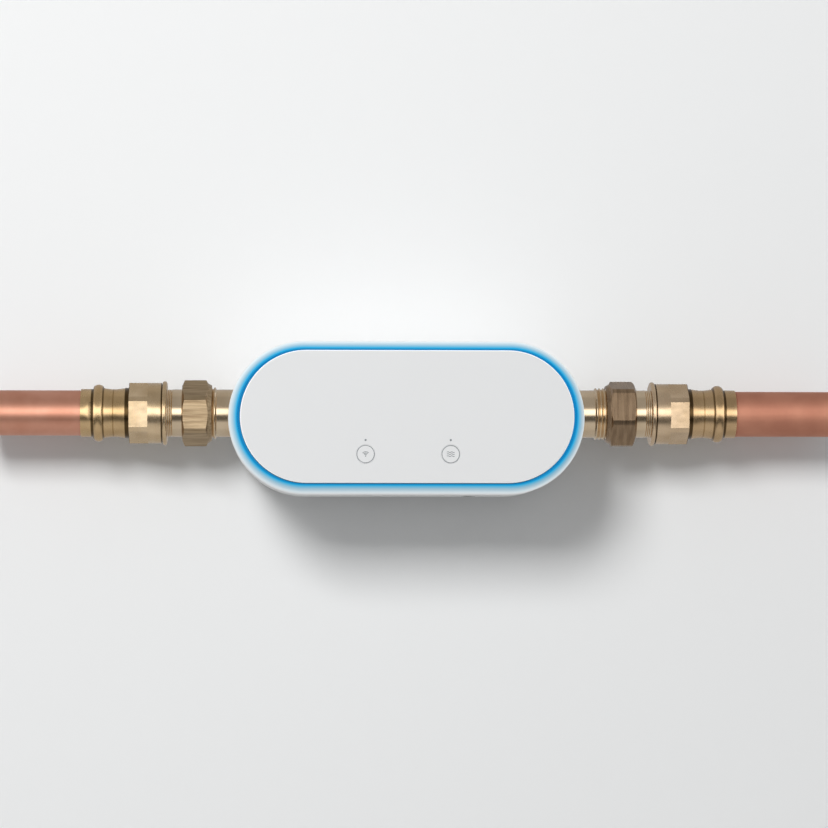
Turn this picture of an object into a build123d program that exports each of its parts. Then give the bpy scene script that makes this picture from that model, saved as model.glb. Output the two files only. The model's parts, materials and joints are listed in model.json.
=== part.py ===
from build123d import *
import math
import os

# Smart water valve: a pill-shaped housing over a motorised ball valve, with unions and press
# adapters that join it to a copper pipe on a wall.
# The origin is on the wall, behind the middle of the pipe's axis. X runs along the pipe from
# the inlet to the outlet, +Z is up, and the housing faces -Y. Lengths are in millimetres and
# angles in degrees. A depth is a distance from the wall, so a point's Y is minus its depth.

# Housing, as the photograph shows it
housing_length = 217.3
housing_height = 93.3
housing_drop = 4.6
rim_width = 6.45
rim_depth = 14.0
rim_crest_inset = 2.0
lid_gap = 0.8
lid_end_inset = 1.0
lid_thickness = 2.5
lid_edge_rounding = 0.7
shell_wall = 2.6
back_rounding = 9.0
deck_thickness = 2.0
quarter_turn = 90.0

# Wall bracket
bracket_end_margin = 33.65
bracket_margin = 1.0
bracket_thickness = 3.0
bracket_boss_height = 5.0
bracket_boss_radius = 7.0
bracket_corner_radius = 7.0
bracket_boss_inset = 35.0
bracket_boss_edge_gap = 22.65
bracket_screw_radius = 2.0
bracket_screw_head_radius = 3.6
bracket_screw_head_height = 2.0
wall_hole_radius = 2.75
wall_hole_end_inset = 15.0
wall_hole_side_inset = 16.0

# Shapes that several pieces share
hexagon_sides = 6

# Clearances and overruns
running_gap = 0.05
slide_gap = 0.1
key_gap = 0.15
thread_gap = 0.06
floor_gap = 1.4
part_gap = 0.6
overrun = 1.0

# Copper pipe
pipe_radius = 14.0
pipe_wall = 1.0
pipe_visible_length = 61.6
pipe_mark_width = 0.8
pipe_mark_depth = 0.25

# Valve body casting
bore_radius = 11.0
stub_radius = 14.75
casting_radius = 15.5
chamber_wall = 3.5
stub_inner_length = 8.0
inlet_stub_visible_length = 7.7
outlet_stub_visible_length = 9.3
inlet_thread_length = 11.5
outlet_thread_length = 15.7
thread_pitch = 2.309
thread_height = 1.3
thread_lead_in = 1.2
thread_flank_shares = (0.4, 0.6)
neck_radius = 11.0
flange_width = 35.0
flange_thickness = 5.0
flange_corner_radius = 5.0
sensor_socket_wall = 1.0
end_collar_length = 6.0
end_nose_length = 22.0
casting_cone_length = 5.0

# Ball and stem
ball_x = 35.0
ball_radius = 16.0
ball_bore_radius = 10.5
chamber_gap = 0.5
seat_length = 6.0
seat_reach = 13.0
seat_gap = 0.15
slot_width = 5.2
slot_length = 12.0
slot_depth = 3.6
tang_width = 5.0
tang_length = 11.0
tang_reach = 3.2
stem_radius = 5.0
stem_top_radius = 3.5
stem_shoulder_radius = 6.5
stem_shoulder_height = 1.8
stem_washer_height = 0.8
stem_seal_width = 1.6
stem_seal_depth = 0.9
stem_seal_spacing = 1.9
neck_height = 8.0

# Gear train
big_module = 1.0
small_module = 0.8
output_teeth = 48
pinion_teeth = 16
wheel_teeth = 40
motor_teeth = 16
pressure_angle = 25.0
addendum_share = 0.9
dedendum_share = 1.2
backlash = 0.16
flank_steps = 4
output_gear_width = 5.0
wheel_width = 3.0
idler_axle_radius = 2.0
idler_lean = 66.0

# Gearbox case and its screws
gearbox_floor = 2.0
gearbox_wall = 2.2
gearbox_cover_thickness = 2.0
gear_side_gap = 1.1
gear_end_gap = 0.8
case_ear_radius = 4.2
case_ear_reach = 2.6
case_ear_angles = (62.0, -48.0, 128.0, 205.0)
case_screw_radius = 1.25
case_screw_head_radius = 2.5
case_screw_head_height = 1.5
case_screw_length = 9.0
actuator_screw_radius = 2.0
actuator_screw_head_radius = 3.4
actuator_screw_head_height = 2.0
actuator_screw_inset = 5.0
actuator_screw_bite = 3.2

# Motor
motor_radius = 12.0
motor_length = 30.0
motor_wall_gap = 2.7
motor_collar_wall = 1.5
motor_collar_length = 8.0
motor_cap_length = 4.0
motor_cap_step = 0.5
motor_shaft_radius = 1.5
motor_shaft_depth = 16.0
motor_terminal_width = 2.0
motor_terminal_length = 2.5

# Flow turbine and sensors
probe_margin = 11.8
probe_spacing = 17.0
turbine_spacing = 29.0
rotor_length = 11.0
rotor_hub_radius = 3.2
rotor_blades = 5
rotor_blade_thickness = 1.0
rotor_blade_pitch = 35.0
rotor_tip_gap = 0.5
turbine_axle_radius = 0.75
straightener_length = 8.0
bearing_length = 5.0
carrier_ring_wall = 1.3
carrier_vane_thickness = 0.9
carrier_vanes = 4
carrier_gap = 1.0
sensor_pad_radius = 7.0
sensor_pad_rise = 1.5
flow_sensor_width = 9.0
flow_sensor_height = 3.0
pressure_boss_radius = 8.0
pressure_boss_rise = 5.5
pressure_thread_radius = 4.8
pressure_port_radius = 1.5
pressure_hex_width = 15.0
pressure_hex_height = 4.0
pressure_can_radius = 7.0
pressure_can_height = 7.0
probe_boss_radius = 5.5
probe_boss_rise = 3.5
probe_stem_radius = 2.5
probe_tip_radius = 1.5
probe_reach = 9.0
probe_head_width = 9.0
probe_head_height = 4.0

# Straps that hold the casting on the rear shell
strap_width = 8.0
strap_thickness = 1.2
strap_ear_length = 10.0
saddle_gap = 0.1
strap_screw_radius = 1.4
strap_screw_head_radius = 2.8
strap_screw_head_height = 1.8
strap_screw_length = 9.0

# Union
nut_across_flats = 37.0
nut_corner_flat = 3.1
nut_length = 18.4
nut_shoulder_length = 0.9
nut_shoulder_drop = 1.8
nut_cone_length = 2.5
nut_cone_drop = 1.5
nut_far_chamfer_length = 1.6
nut_far_chamfer_drop = 3.4
nut_stub_overlap = 8.5
inlet_nut_turn = 5.0
outlet_nut_turn = -11.6
union_washer_thickness = 2.0
clip_set_off = 0.8
clip_gap = 0.3
clip_width = 1.8
clip_depth = 1.0
clip_stand_out = 0.9
tail_grooves = 3
tail_groove_pitch = 1.1
tail_groove_depth = 0.3
tail_reach = 17.2

# Press adapter
rim_ring_length = 2.8
rim_ring_radius = 19.9
rim_ring_rounding = 1.2
adapter_groove_length = 0.5
adapter_groove_depth = 0.8
adapter_barrel_length = 8.3
adapter_barrel_radius = 18.75
adapter_hex_width = 34.0
adapter_hex_length = 11.8
adapter_hex_corner_radius = 18.7
adapter_hex_turn = 5.0
adapter_neck_gap = 2.2
adapter_neck_length = 13.7
adapter_neck_radius = 14.75
adapter_neck_flare = 0.9
adapter_bead_length = 6.0
adapter_bead_radius = 17.7
adapter_bead_wall = 0.8
adapter_collar_gap = 1.2
adapter_collar_length = 6.6
adapter_skin = 0.8
adapter_socket_depth = 12.0
press_seal_radius = 1.3

# Boards, lights and keys
board_gap = 1.0
board_thickness = 1.6
board_edge_gap = 1.5
board_standoff = 3.9
board_post_radius = 3.0
board_post_reach = 8.0
board_post_drop = 20.0
board_screw_radius = 1.25
board_screw_head_radius = 2.6
board_screw_head_height = 1.5
ring_board_width = 5.5
ring_board_thickness = 0.8
ring_board_edge_gap = 0.5
led_count = 28
led_length = 3.0
led_width = 1.4
led_height = 0.7
led_gap = 0.1
guide_width = 3.0
guide_edge_gap = 0.3
guide_thickness = 1.9
lid_rib_width = 1.2
lid_rib_gap = 1.0
lid_peg_radius = 1.5
lid_peg_end_gap = 17.0
lid_peg_inset = 16.0
key_spacing = 51.5
key_pair_shift = 0.4
key_inset = 17.4
key_radius = 5.5
key_cap_thickness = 3.1
key_flange_width = 1.1
key_flange_thickness = 1.1
key_stem_radius = 1.8
key_travel = 0.4
switch_width = 6.0
switch_height = 2.8
switch_plunger_radius = 1.6
switch_plunger_rise = 0.6
switch_floor = 0.9
status_spacing = 8.5
status_radius = 0.6
status_led_width = 1.6
status_led_height = 0.8

# Shell posts and screws
post_radius = 4.5
post_end_gap = 5.0
post_inset = 3.9
shell_screw_radius = 1.75
shell_screw_head_radius = 3.2
shell_screw_head_height = 2.4
shell_screw_recess = 4.0
shell_screw_bite = 13.0
post_pilot_depth = 15.0
gasket_width = 1.0
gasket_depth = 1.0
grommet_wall = 1.75

# Power inlet
jack_end_gap = 22.0
jack_width = 9.0
jack_depth = 11.0
jack_height = 10.0
jack_mouth_radius = 4.4
jack_bore_radius = 3.0
jack_bore_depth = 9.0
jack_pin_radius = 1.0
jack_pin_set_back = 1.0

# Components on the main board
radio_length = 25.0
radio_width = 18.0
radio_height = 2.6
radio_end_gap = 14.0
chip_width = 10.0
chip_height = 1.2
chip_x = 0.0
memory_length = 8.0
memory_width = 5.0
memory_x = 18.0
capacitor_radius = 4.0
capacitor_height = 5.5
capacitor_end_gap = 14.0
capacitor_z = 17.0
capacitor_spacing = 10.0
coil_width = 8.0
coil_height = 4.0
coil_end_gap = 2.0
connector_length = 8.0
connector_width = 4.0
connector_height = 3.0
lead_radius = 0.9
lead_bend = 2.0
motor_lead_run = 22.0
motor_lead_drop = 6.0

# Places worked out from the sizes above: the housing's outline
housing_radius = housing_height / 2
half_spacing = housing_length / 2 - housing_radius
lid_half_spacing = half_spacing - lid_end_inset
housing_reach = housing_length / 2
lid_radius = housing_radius - rim_width
inner_radius = housing_radius - shell_wall
rim_crest_radius = lid_radius + lid_gap
housing_z = -housing_drop

# Depths from the wall to the actuator's flange
rear_back = bracket_thickness + bracket_boss_height
bracket_length = housing_length - 2 * bracket_end_margin
bracket_boss_spacing_x = bracket_length - 2 * bracket_boss_inset
bracket_boss_spacing_z = housing_height - 2 * bracket_boss_edge_gap
bracket_height = bracket_boss_spacing_z + 2 * (bracket_boss_radius + bracket_margin)
wall_hole_spacing_x = bracket_length - 2 * wall_hole_end_inset
wall_hole_spacing_z = bracket_height - 2 * wall_hole_side_inset
floor_front = rear_back + shell_wall
chamber_radius = ball_radius + chamber_gap
chamber_outer_radius = chamber_radius + chamber_wall
pipe_depth = floor_front + floor_gap + chamber_outer_radius
stem_counterbore_top = pipe_depth + chamber_radius + stem_shoulder_height + stem_washer_height
flange_front = pipe_depth + ball_radius + neck_height
flange_back = flange_front - flange_thickness

# Depths of the gear train
gearbox_floor_front = flange_front + gearbox_floor
output_gear_back = gearbox_floor_front + actuator_screw_head_height + gear_end_gap
output_gear_front = output_gear_back + output_gear_width
wheel_back = output_gear_front + part_gap
wheel_front = wheel_back + wheel_width
cover_back = wheel_front + part_gap
cover_front = cover_back + gearbox_cover_thickness

# Depths of the boards, the deck and the lid
board_back = cover_front + case_screw_head_height + board_gap
board_front = board_back + board_thickness
deck_back = board_front + board_standoff
deck_front = deck_back + deck_thickness
ring_board_front = deck_front + ring_board_thickness
led_front = ring_board_front + led_height
guide_back = led_front + led_gap
lid_back = guide_back + guide_thickness
lid_front = lid_back + lid_thickness
rim_crest = lid_front - rim_crest_inset
rim_shoulder = rim_crest - rim_depth

# Places along the pipe
thread_radius = stub_radius + thread_height + running_gap + thread_gap
casting_reach = housing_reach - shell_wall - stub_inner_length
probe_x = probe_margin - (half_spacing + inner_radius)
pressure_x = probe_x + probe_spacing
turbine_x = pressure_x + turbine_spacing
rotor_start = turbine_x - rotor_length / 2
rotor_end = turbine_x + rotor_length / 2
straightener_end = rotor_start - carrier_gap
straightener_start = straightener_end - straightener_length
bearing_start = rotor_end + carrier_gap
bearing_end = bearing_start + bearing_length
chamber_start = ball_x - seat_reach
chamber_end = ball_x + end_nose_length
strap_inlet_x = (pressure_x + pressure_boss_radius + turbine_x - sensor_pad_radius) / 2
strap_outlet_x = (chamber_end + end_collar_length + casting_reach) / 2

# Places of the gear axes
output_pitch_radius = big_module * output_teeth / 2
pinion_pitch_radius = big_module * pinion_teeth / 2
wheel_pitch_radius = small_module * wheel_teeth / 2
motor_pitch_radius = small_module * motor_teeth / 2
output_distance = output_pitch_radius + pinion_pitch_radius
motor_distance = wheel_pitch_radius + motor_pitch_radius
motor_z = housing_z - inner_radius + motor_wall_gap + motor_radius
idler_z = motor_z + motor_distance * math.sin(math.radians(idler_lean))
idler_x = ball_x - math.sqrt(output_distance**2 - idler_z**2)
motor_x = idler_x - motor_distance * math.cos(math.radians(idler_lean))

# Keys, posts and components, measured from the housing's centre
key_xs = (key_pair_shift - key_spacing / 2, key_pair_shift + key_spacing / 2)
key_drop = lid_radius - key_inset
status_drop = key_drop - status_spacing
lid_peg_x = half_spacing - lid_peg_end_gap
lid_peg_z = lid_radius - lid_peg_inset
post_x = half_spacing - post_end_gap
post_offset = inner_radius - post_inset
board_radius = post_offset - post_radius - board_edge_gap
board_post_x = half_spacing + board_post_reach
jack_x = half_spacing - jack_end_gap
radio_x = radio_end_gap + radio_length / 2 - half_spacing - board_radius
capacitor_x = capacitor_end_gap - half_spacing
coil_x = coil_end_gap - half_spacing


def housing_plane(depth):
    """The plane at a depth from the wall that faces the viewer, centred on the housing."""
    return Plane(origin=(0, -depth, housing_z), x_dir=(1, 0, 0), z_dir=(0, -1, 0))


def valve_plane(depth):
    """The same, centred on the pipe's axis."""
    return Plane(origin=(0, -depth, 0), x_dir=(1, 0, 0), z_dir=(0, -1, 0))


def slab(sketch, back, front):
    """A sketch about the housing's centre, made solid between two depths."""
    return housing_plane(back) * extrude(sketch, front - back)


def boss(sketch, back, front):
    """A sketch about the pipe's axis, made solid between two depths."""
    return valve_plane(back) * extrude(sketch, front - back)


def pill(radius):
    """The housing's outline at a radius from its centre line."""
    return SlotCenterToCenter(2 * half_spacing, 2 * radius)


def lid_pill(radius):
    """The lid's outline, which stops a little short of the housing's at the two ends."""
    return SlotCenterToCenter(2 * lid_half_spacing, 2 * radius)


def disc(x, z, radius):
    """A circle at a place on a facing plane."""
    return Pos(x, z) * Circle(radius)


def discs(places, radius):
    """Circles of one radius at several places."""
    return Sketch() + [disc(x, z, radius) for x, z in places]


def corners(spacing_x, spacing_z):
    """The four corners of a rectangle about the centre."""
    return [(i * spacing_x / 2, k * spacing_z / 2) for i in (-1, 1) for k in (-1, 1)]


def carried_round(profile):
    """Carry a closed profile of (radius, depth) points round the housing's outline."""
    face = make_face(profile)
    along = Plane(origin=(-half_spacing, 0, housing_z), x_dir=(0, 0, 1), z_dir=(1, 0, 0))
    end = Plane(origin=(half_spacing, 0, housing_z), x_dir=(0, 0, 1), z_dir=(1, 0, 0))
    end_axis = Axis((half_spacing, 0, housing_z), (0, 1, 0))
    half = extrude(along * face, 2 * half_spacing, dir=(1, 0, 0))
    half += revolve(end * face, axis=end_axis, revolution_arc=180)
    centre_axis = Axis((0, 0, housing_z), (0, 1, 0))
    return half + half.rotate(centre_axis, 180)


pipe_axis = Axis((0, -pipe_depth, 0), (1, 0, 0))
profile_plane = Plane(origin=(0, -pipe_depth, 0), x_dir=(1, 0, 0), z_dir=(0, -1, 0))


def turned(*lines):
    """Revolve a closed outline of (x, radius) points about the pipe's axis."""
    return revolve(profile_plane * make_face(lines), axis=pipe_axis)


def ring(start, end, outer_radius, inner_radius=0):
    """A plain bush, disc or bore along the pipe's axis."""
    outline = [(start, inner_radius), (start, outer_radius), (end, outer_radius), (end, inner_radius)]
    return turned(Polyline(*outline, close=True))


def pipe_section(start):
    """The plane across the pipe at x, with the viewer's side towards its local +Y."""
    return Plane(origin=(start, -pipe_depth, 0), x_dir=(0, 0, 1), z_dir=(1, 0, 0))


def hexagon(across_flats, corner_radius, turn=0):
    """A hexagon with a flat towards the viewer, turned down by some degrees, its corners cut."""
    half_side_angle = 180 / hexagon_sides
    full = RegularPolygon(across_flats / 2, hexagon_sides, major_radius=False, rotation=turn)
    cut = RegularPolygon(corner_radius, hexagon_sides, major_radius=False, rotation=turn + half_side_angle)
    return full & cut


def plain_hexagon(across_flats):
    return RegularPolygon(across_flats / 2, hexagon_sides, major_radius=False)


def on_side(part, side):
    """Put a part that was made for the outlet on the side it belongs to."""
    return part if side > 0 else mirror(part, about=Plane.YZ)


# Wall bracket and shells


def make_wall_bracket():
    outline = RectangleRounded(bracket_length, bracket_height, bracket_corner_radius)
    plate = slab(outline, 0, bracket_thickness)
    bosses = corners(bracket_boss_spacing_x, bracket_boss_spacing_z)
    plate += slab(discs(bosses, bracket_boss_radius), 0, rear_back)
    plate -= slab(discs(bosses, bracket_screw_radius + running_gap), bracket_thickness, rear_back)
    wall_holes = corners(wall_hole_spacing_x, wall_hole_spacing_z)
    return plate - slab(discs(wall_holes, wall_hole_radius), 0, bracket_thickness)


def make_bracket_screws():
    places = corners(bracket_boss_spacing_x, bracket_boss_spacing_z)
    shanks = slab(discs(places, bracket_screw_radius), bracket_thickness + part_gap, floor_front)
    heads = discs(places, bracket_screw_head_radius)
    return shanks + slab(heads, floor_front, floor_front + bracket_screw_head_height)


def post_places():
    return corners(2 * post_x, 2 * post_offset)


def shell_hole():
    """The round passage of the stubs through the housing's two ends."""
    return ring(-housing_reach - overrun, housing_reach + overrun, stub_radius + grommet_wall)


def saddle_blocks():
    """The two blocks on the rear shell's floor that the casting rests in."""
    blocks = Part()
    for x in (strap_inlet_x, strap_outlet_x):
        width = 2 * (casting_radius + strap_ear_length)
        blocks += boss(Pos(x, 0) * Rectangle(strap_width, width), floor_front, pipe_depth)
    blocks -= ring(-housing_reach, housing_reach, casting_radius + saddle_gap)
    holes = discs(strap_screw_places(), strap_screw_radius + running_gap)
    return blocks - boss(holes, pipe_depth - strap_screw_length - overrun, pipe_depth)


def strap_screw_places():
    z = casting_radius + strap_thickness + strap_ear_length / 2
    return [(x, k * z) for x in (strap_inlet_x, strap_outlet_x) for k in (-1, 1)]


def make_rear_shell():
    knee = housing_radius - back_rounding
    inner_knee = back_rounding - shell_wall
    side = rear_back + back_rounding
    quarter = math.sqrt(0.5)
    back_arc = ThreePointArc(
        (knee, rear_back),
        (knee + back_rounding * quarter, side - back_rounding * quarter),
        (housing_radius, side),
    )
    front_arc = ThreePointArc(
        (inner_radius, side),
        (knee + inner_knee * quarter, side - inner_knee * quarter),
        (knee, floor_front),
    )
    rest = Polyline(
        (housing_radius, side), (housing_radius, pipe_depth), (inner_radius, pipe_depth), (inner_radius, side)
    )
    back = Polyline((knee, floor_front), (0, floor_front), (0, rear_back), (knee, rear_back))
    shell = carried_round([back_arc, rest, front_arc, back])
    shell += slab(discs(post_places(), post_radius), floor_front, pipe_depth) & slab(
        pill(housing_radius - shell_wall / 2), floor_front, pipe_depth
    )
    shell += saddle_blocks()
    shell -= slab(discs(post_places(), shell_screw_head_radius + slide_gap), rear_back, screw_seat())
    shell -= slab(discs(post_places(), shell_screw_radius + slide_gap), rear_back, pipe_depth)
    holes = corners(bracket_boss_spacing_x, bracket_boss_spacing_z)
    shell -= slab(discs(holes, bracket_screw_radius + slide_gap), rear_back, floor_front)
    shell -= gasket_groove(running_gap)
    shell -= jack_passage()
    return shell - shell_hole()


def screw_seat():
    """The depth at which the shell screws' heads end inside the rear shell's posts."""
    return rear_back + shell_screw_recess + shell_screw_head_height


def gasket_groove(gap):
    middle = inner_radius + shell_wall / 2
    outline = pill(middle + gasket_width / 2 + gap) - pill(middle - gasket_width / 2 - gap)
    return slab(outline, pipe_depth - gasket_depth, pipe_depth)


def make_shell_gasket():
    return gasket_groove(0) - shell_hole()


def make_front_shell():
    rim = EllipticalCenterArc(
        (rim_crest_radius, rim_shoulder), housing_radius - rim_crest_radius, rim_depth, arc_size=quarter_turn
    )
    outline = Polyline(
        (rim_crest_radius, rim_crest),
        (rim_crest_radius, deck_front),
        (0, deck_front),
        (0, deck_back),
        (rim_crest_radius, deck_back),
        (inner_radius, rim_shoulder),
        (inner_radius, pipe_depth),
        (housing_radius, pipe_depth),
        (housing_radius, rim_shoulder),
    )
    shell = carried_round([rim, outline])
    shell += slab(discs(post_places(), post_radius), pipe_depth, deck_back) & slab(
        pill(housing_radius - shell_wall / 2), pipe_depth, deck_back
    )
    pilot = discs(post_places(), shell_screw_radius + running_gap)
    shell -= slab(pilot, pipe_depth, pipe_depth + post_pilot_depth)
    shell += slab(discs(board_post_places(), board_post_radius), board_front, deck_back)
    pilot = discs(board_post_places(), board_screw_radius + running_gap)
    shell -= slab(pilot, board_front, deck_back)
    shell -= slab(discs(key_places(), key_stem_radius + key_gap), deck_back, deck_front)
    shell -= slab(discs(status_places(), status_radius + slide_gap), deck_back, deck_front)
    shell -= slab(discs(peg_places(), lid_peg_radius + running_gap), deck_back, deck_front)
    return shell - shell_hole()


def make_pipe_grommets():
    """Two rubber bushes that fill the wall between the stubs and the shells."""
    band = slab(pill(housing_radius) - pill(inner_radius), floor_front, deck_back)
    inner = stub_radius + running_gap
    outer = stub_radius + grommet_wall - running_gap
    return ring(-housing_reach, housing_reach, outer, inner) & band


def make_shell_screws():
    heads = slab(discs(post_places(), shell_screw_head_radius), rear_back + shell_screw_recess, screw_seat())
    shanks = slab(discs(post_places(), shell_screw_radius), screw_seat(), pipe_depth + shell_screw_bite)
    return heads + shanks


# Lid, light ring and keys


def key_places():
    return [(x, -key_drop) for x in key_xs]


def status_places():
    return [(x, -status_drop) for x in key_xs]


def peg_places():
    return corners(2 * lid_peg_x, 2 * lid_peg_z)


def board_post_places():
    return corners(2 * board_post_x, 2 * board_post_drop)


def make_lid():
    plate = slab(lid_pill(lid_radius), lid_back, lid_front)
    front_edges = plate.faces().sort_by(Axis.Y)[0].edges()
    plate = fillet(front_edges, lid_edge_rounding)
    rib_outer = ring_board_inner() - lid_rib_gap
    plate += slab(lid_pill(rib_outer) - lid_pill(rib_outer - lid_rib_width), deck_front, lid_back)
    plate += slab(discs(peg_places(), lid_peg_radius), deck_back, lid_back)
    plate -= slab(discs(key_places(), key_radius + key_gap), lid_back, lid_front)
    return plate - slab(discs(status_places(), status_radius + running_gap), lid_back, lid_front)


def ring_board_outer():
    return rim_crest_radius - ring_board_edge_gap


def ring_board_inner():
    return ring_board_outer() - ring_board_width


def make_light_guide():
    outer = lid_radius - guide_edge_gap
    return slab(lid_pill(outer) - lid_pill(outer - guide_width), guide_back, lid_back)


def make_ring_board():
    outline = lid_pill(ring_board_outer()) - lid_pill(ring_board_inner())
    return slab(outline, deck_front, ring_board_front)


def along_pill(radius, share):
    """The place and direction, in degrees, at a share of the way round the lid's outline."""
    arc = math.pi * radius
    straight = 2 * lid_half_spacing
    way = share * 2 * (arc + straight)
    turned_half = way >= arc + straight
    way -= (arc + straight) * turned_half
    if way < straight:
        x, z, heading = lid_half_spacing - way, radius, 180.0
    else:
        angle = (way - straight) / radius
        x, z = -lid_half_spacing - radius * math.sin(angle), radius * math.cos(angle)
        heading = 180.0 + math.degrees(angle)
    return (-x, -z, heading + 180.0) if turned_half else (x, z, heading)


def make_ring_leds():
    radius = lid_radius - guide_edge_gap - guide_width / 2
    leds = Sketch()
    for index in range(led_count):
        x, z, heading = along_pill(radius, (index + 1 / 2) / led_count)
        leds += Pos(x, z) * Rot(0, 0, heading) * Rectangle(led_length, led_width)
    return slab(leds, ring_board_front, led_front)


def key_bottom():
    """The depth of the lower end of a key cap's stem, on the switch's plunger."""
    return board_front + switch_height + switch_plunger_rise


def make_key_cap(index):
    place = [key_places()[index]]
    flange_front = lid_front - key_cap_thickness
    cap = slab(discs(place, key_radius), flange_front, lid_front)
    flange_back = flange_front - key_flange_thickness
    cap += slab(discs(place, key_radius + key_flange_width), flange_back, flange_front)
    return cap + slab(discs(place, key_stem_radius), key_bottom(), flange_back)


def make_key_switches():
    bodies = Sketch() + [Pos(x, z) * Rectangle(switch_width, switch_width) for x, z in key_places()]
    switches = slab(bodies, board_front, board_front + switch_height)
    wells = discs(key_places(), switch_plunger_radius + slide_gap)
    return switches - slab(wells, board_front + switch_floor, board_front + switch_height)


def make_switch_plunger(index):
    bottom = board_front + switch_floor + key_travel + part_gap
    return slab(discs([key_places()[index]], switch_plunger_radius), bottom, key_bottom())


def make_status_light_pipes():
    return slab(discs(status_places(), status_radius), board_front + status_led_height, lid_front)


# Main board


def make_main_board():
    board = slab(pill(board_radius), board_back, board_front)
    return board - slab(discs(board_post_places(), board_screw_radius + slide_gap), board_back, board_front)


def make_board_screws():
    places = board_post_places()
    heads = slab(discs(places, board_screw_head_radius), board_back - board_screw_head_height, board_back)
    return heads + slab(discs(places, board_screw_radius), board_back, deck_back - part_gap)


def lead_places():
    """Where each lead meets the board, about the pipe's axis."""
    return {
        "pressure": (pressure_x, 0),
        "probe": (probe_x, 0),
        "flow": (turbine_x, 0),
        "motor": (motor_x - motor_lead_run, motor_z),
        "power": (jack_x + jack_width, motor_z),
    }


def make_board_components():
    front = Sketch() + Pos(chip_x, 0) * Rectangle(chip_width, chip_width)
    front += Pos(memory_x, 0) * Rectangle(memory_length, memory_width)
    parts = slab(front, board_front, board_front + chip_height)
    status = [Pos(x, z) * Rectangle(status_led_width, status_led_width) for x, z in status_places()]
    parts += slab(Sketch() + status, board_front, board_front + status_led_height)
    cans = [(capacitor_x + i * capacitor_spacing, capacitor_z) for i in (-1, 0, 1)]
    parts += slab(discs(cans, capacitor_radius), board_back - capacitor_height, board_back)
    coil = Pos(coil_x, -capacitor_z) * RectangleRounded(coil_width, coil_width, coil_width / 4)
    parts += slab(coil, board_back - coil_height, board_back)
    sockets = [Pos(x, z) * Rectangle(connector_length, connector_width) for x, z in lead_places().values()]
    return parts + boss(Sketch() + sockets, connector_back(), board_back)


def make_radio_module():
    can = Pos(radio_x, 0) * RectangleRounded(radio_length, radio_width, radio_height / 2)
    return slab(can, board_front, board_front + radio_height)


def connector_back():
    """The depth at which the leads meet the sockets on the board's back."""
    return board_back - connector_height


def make_inner_leads():
    """The leads of the motor, the power inlet and the three sensors, up to the board."""
    places = lead_places()
    leads = boss(discs([places["pressure"]], lead_radius), pressure_top(), connector_back())
    leads += boss(discs([places["probe"]], lead_radius), probe_top(), connector_back())
    leads += boss(discs([places["flow"]], lead_radius), flow_sensor_top(), connector_back())
    motor_end = flange_front - motor_length - motor_cap_length - motor_terminal_length
    x, z = places["motor"]
    route = FilletPolyline(
        (motor_x, -motor_end, z),
        (motor_x, motor_lead_drop - motor_end, z),
        (x, motor_lead_drop - motor_end, z),
        (x, -connector_back(), z),
        radius=lead_bend,
    )
    section = Plane(origin=(motor_x, -motor_end, z), z_dir=(0, 1, 0)) * Circle(lead_radius)
    leads += sweep(section, path=route)
    x, z = places["power"]
    y = -jack_centre_depth()
    start = (jack_x + jack_width / 2, y, z)
    route = FilletPolyline(start, (x, y, z), (x, -connector_back(), z), radius=lead_bend)
    section = Plane(origin=start, z_dir=(1, 0, 0)) * Circle(lead_radius)
    return leads + sweep(section, path=route)


# Power inlet


def jack_centre_depth():
    """The middle of the flat part of the rear shell's lower wall."""
    return (rear_back + back_rounding + pipe_depth) / 2


def jack_plane():
    """A plane on the housing's lower side that faces down, centred on the jack."""
    origin = (jack_x, -jack_centre_depth(), housing_z - housing_radius)
    return Plane(origin=origin, x_dir=(1, 0, 0), z_dir=(0, 0, 1))


def jack_passage():
    return jack_plane() * extrude(Circle(jack_mouth_radius + slide_gap), shell_wall)


def make_power_inlet_jack():
    plane = jack_plane()
    jack = plane * extrude(Circle(jack_mouth_radius), shell_wall)
    block = Pos(0, 0, shell_wall) * extrude(Rectangle(jack_width, jack_depth), jack_height)
    jack += plane * block
    jack -= plane * extrude(Circle(jack_bore_radius), jack_bore_depth)
    pin = Pos(0, 0, jack_pin_set_back) * extrude(Circle(jack_pin_radius), jack_bore_depth - jack_pin_set_back)
    return jack + plane * pin


# Valve body


def threaded_outline(start, end, root, crest, toward):
    """Points of a male thread's rings from start to end along the pipe, on one side."""
    points = []
    rise, fall = thread_flank_shares
    turns = int((end - start - thread_lead_in) / thread_pitch)
    for turn in range(turns):
        x = start + turn * thread_pitch
        ridge = [(x, root), (x + rise * thread_pitch, crest), (x + fall * thread_pitch, crest)]
        points += [(toward * place, radius) for place, radius in ridge]
    return points + [(toward * (start + turns * thread_pitch), root)]


def thread_start(side):
    """The distance from the middle to the start of the thread on one side."""
    return housing_reach + (outlet_stub_visible_length if side > 0 else inlet_stub_visible_length)


def stub_end(side):
    return thread_start(side) + (outlet_thread_length if side > 0 else inlet_thread_length)


def stub_outline(side):
    """The outside of a stub from the housing's wall out to its threaded end."""
    root = stub_radius + running_gap
    crest = root + thread_height
    thread = threaded_outline(thread_start(side), stub_end(side), root, crest, side)
    return [(side * thread_start(side), stub_radius)] + thread + [
        (side * stub_end(side), root),
        (side * stub_end(side), bore_radius),
    ]


def tidy(points):
    """Drop each point that repeats the one before it."""
    kept = [points[0]]
    for point in points[1:]:
        if math.dist(point, kept[-1]) > 0:
            kept.append(point)
    return kept


def neck_centre(sketch):
    return Pos(ball_x, 0) * sketch


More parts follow.
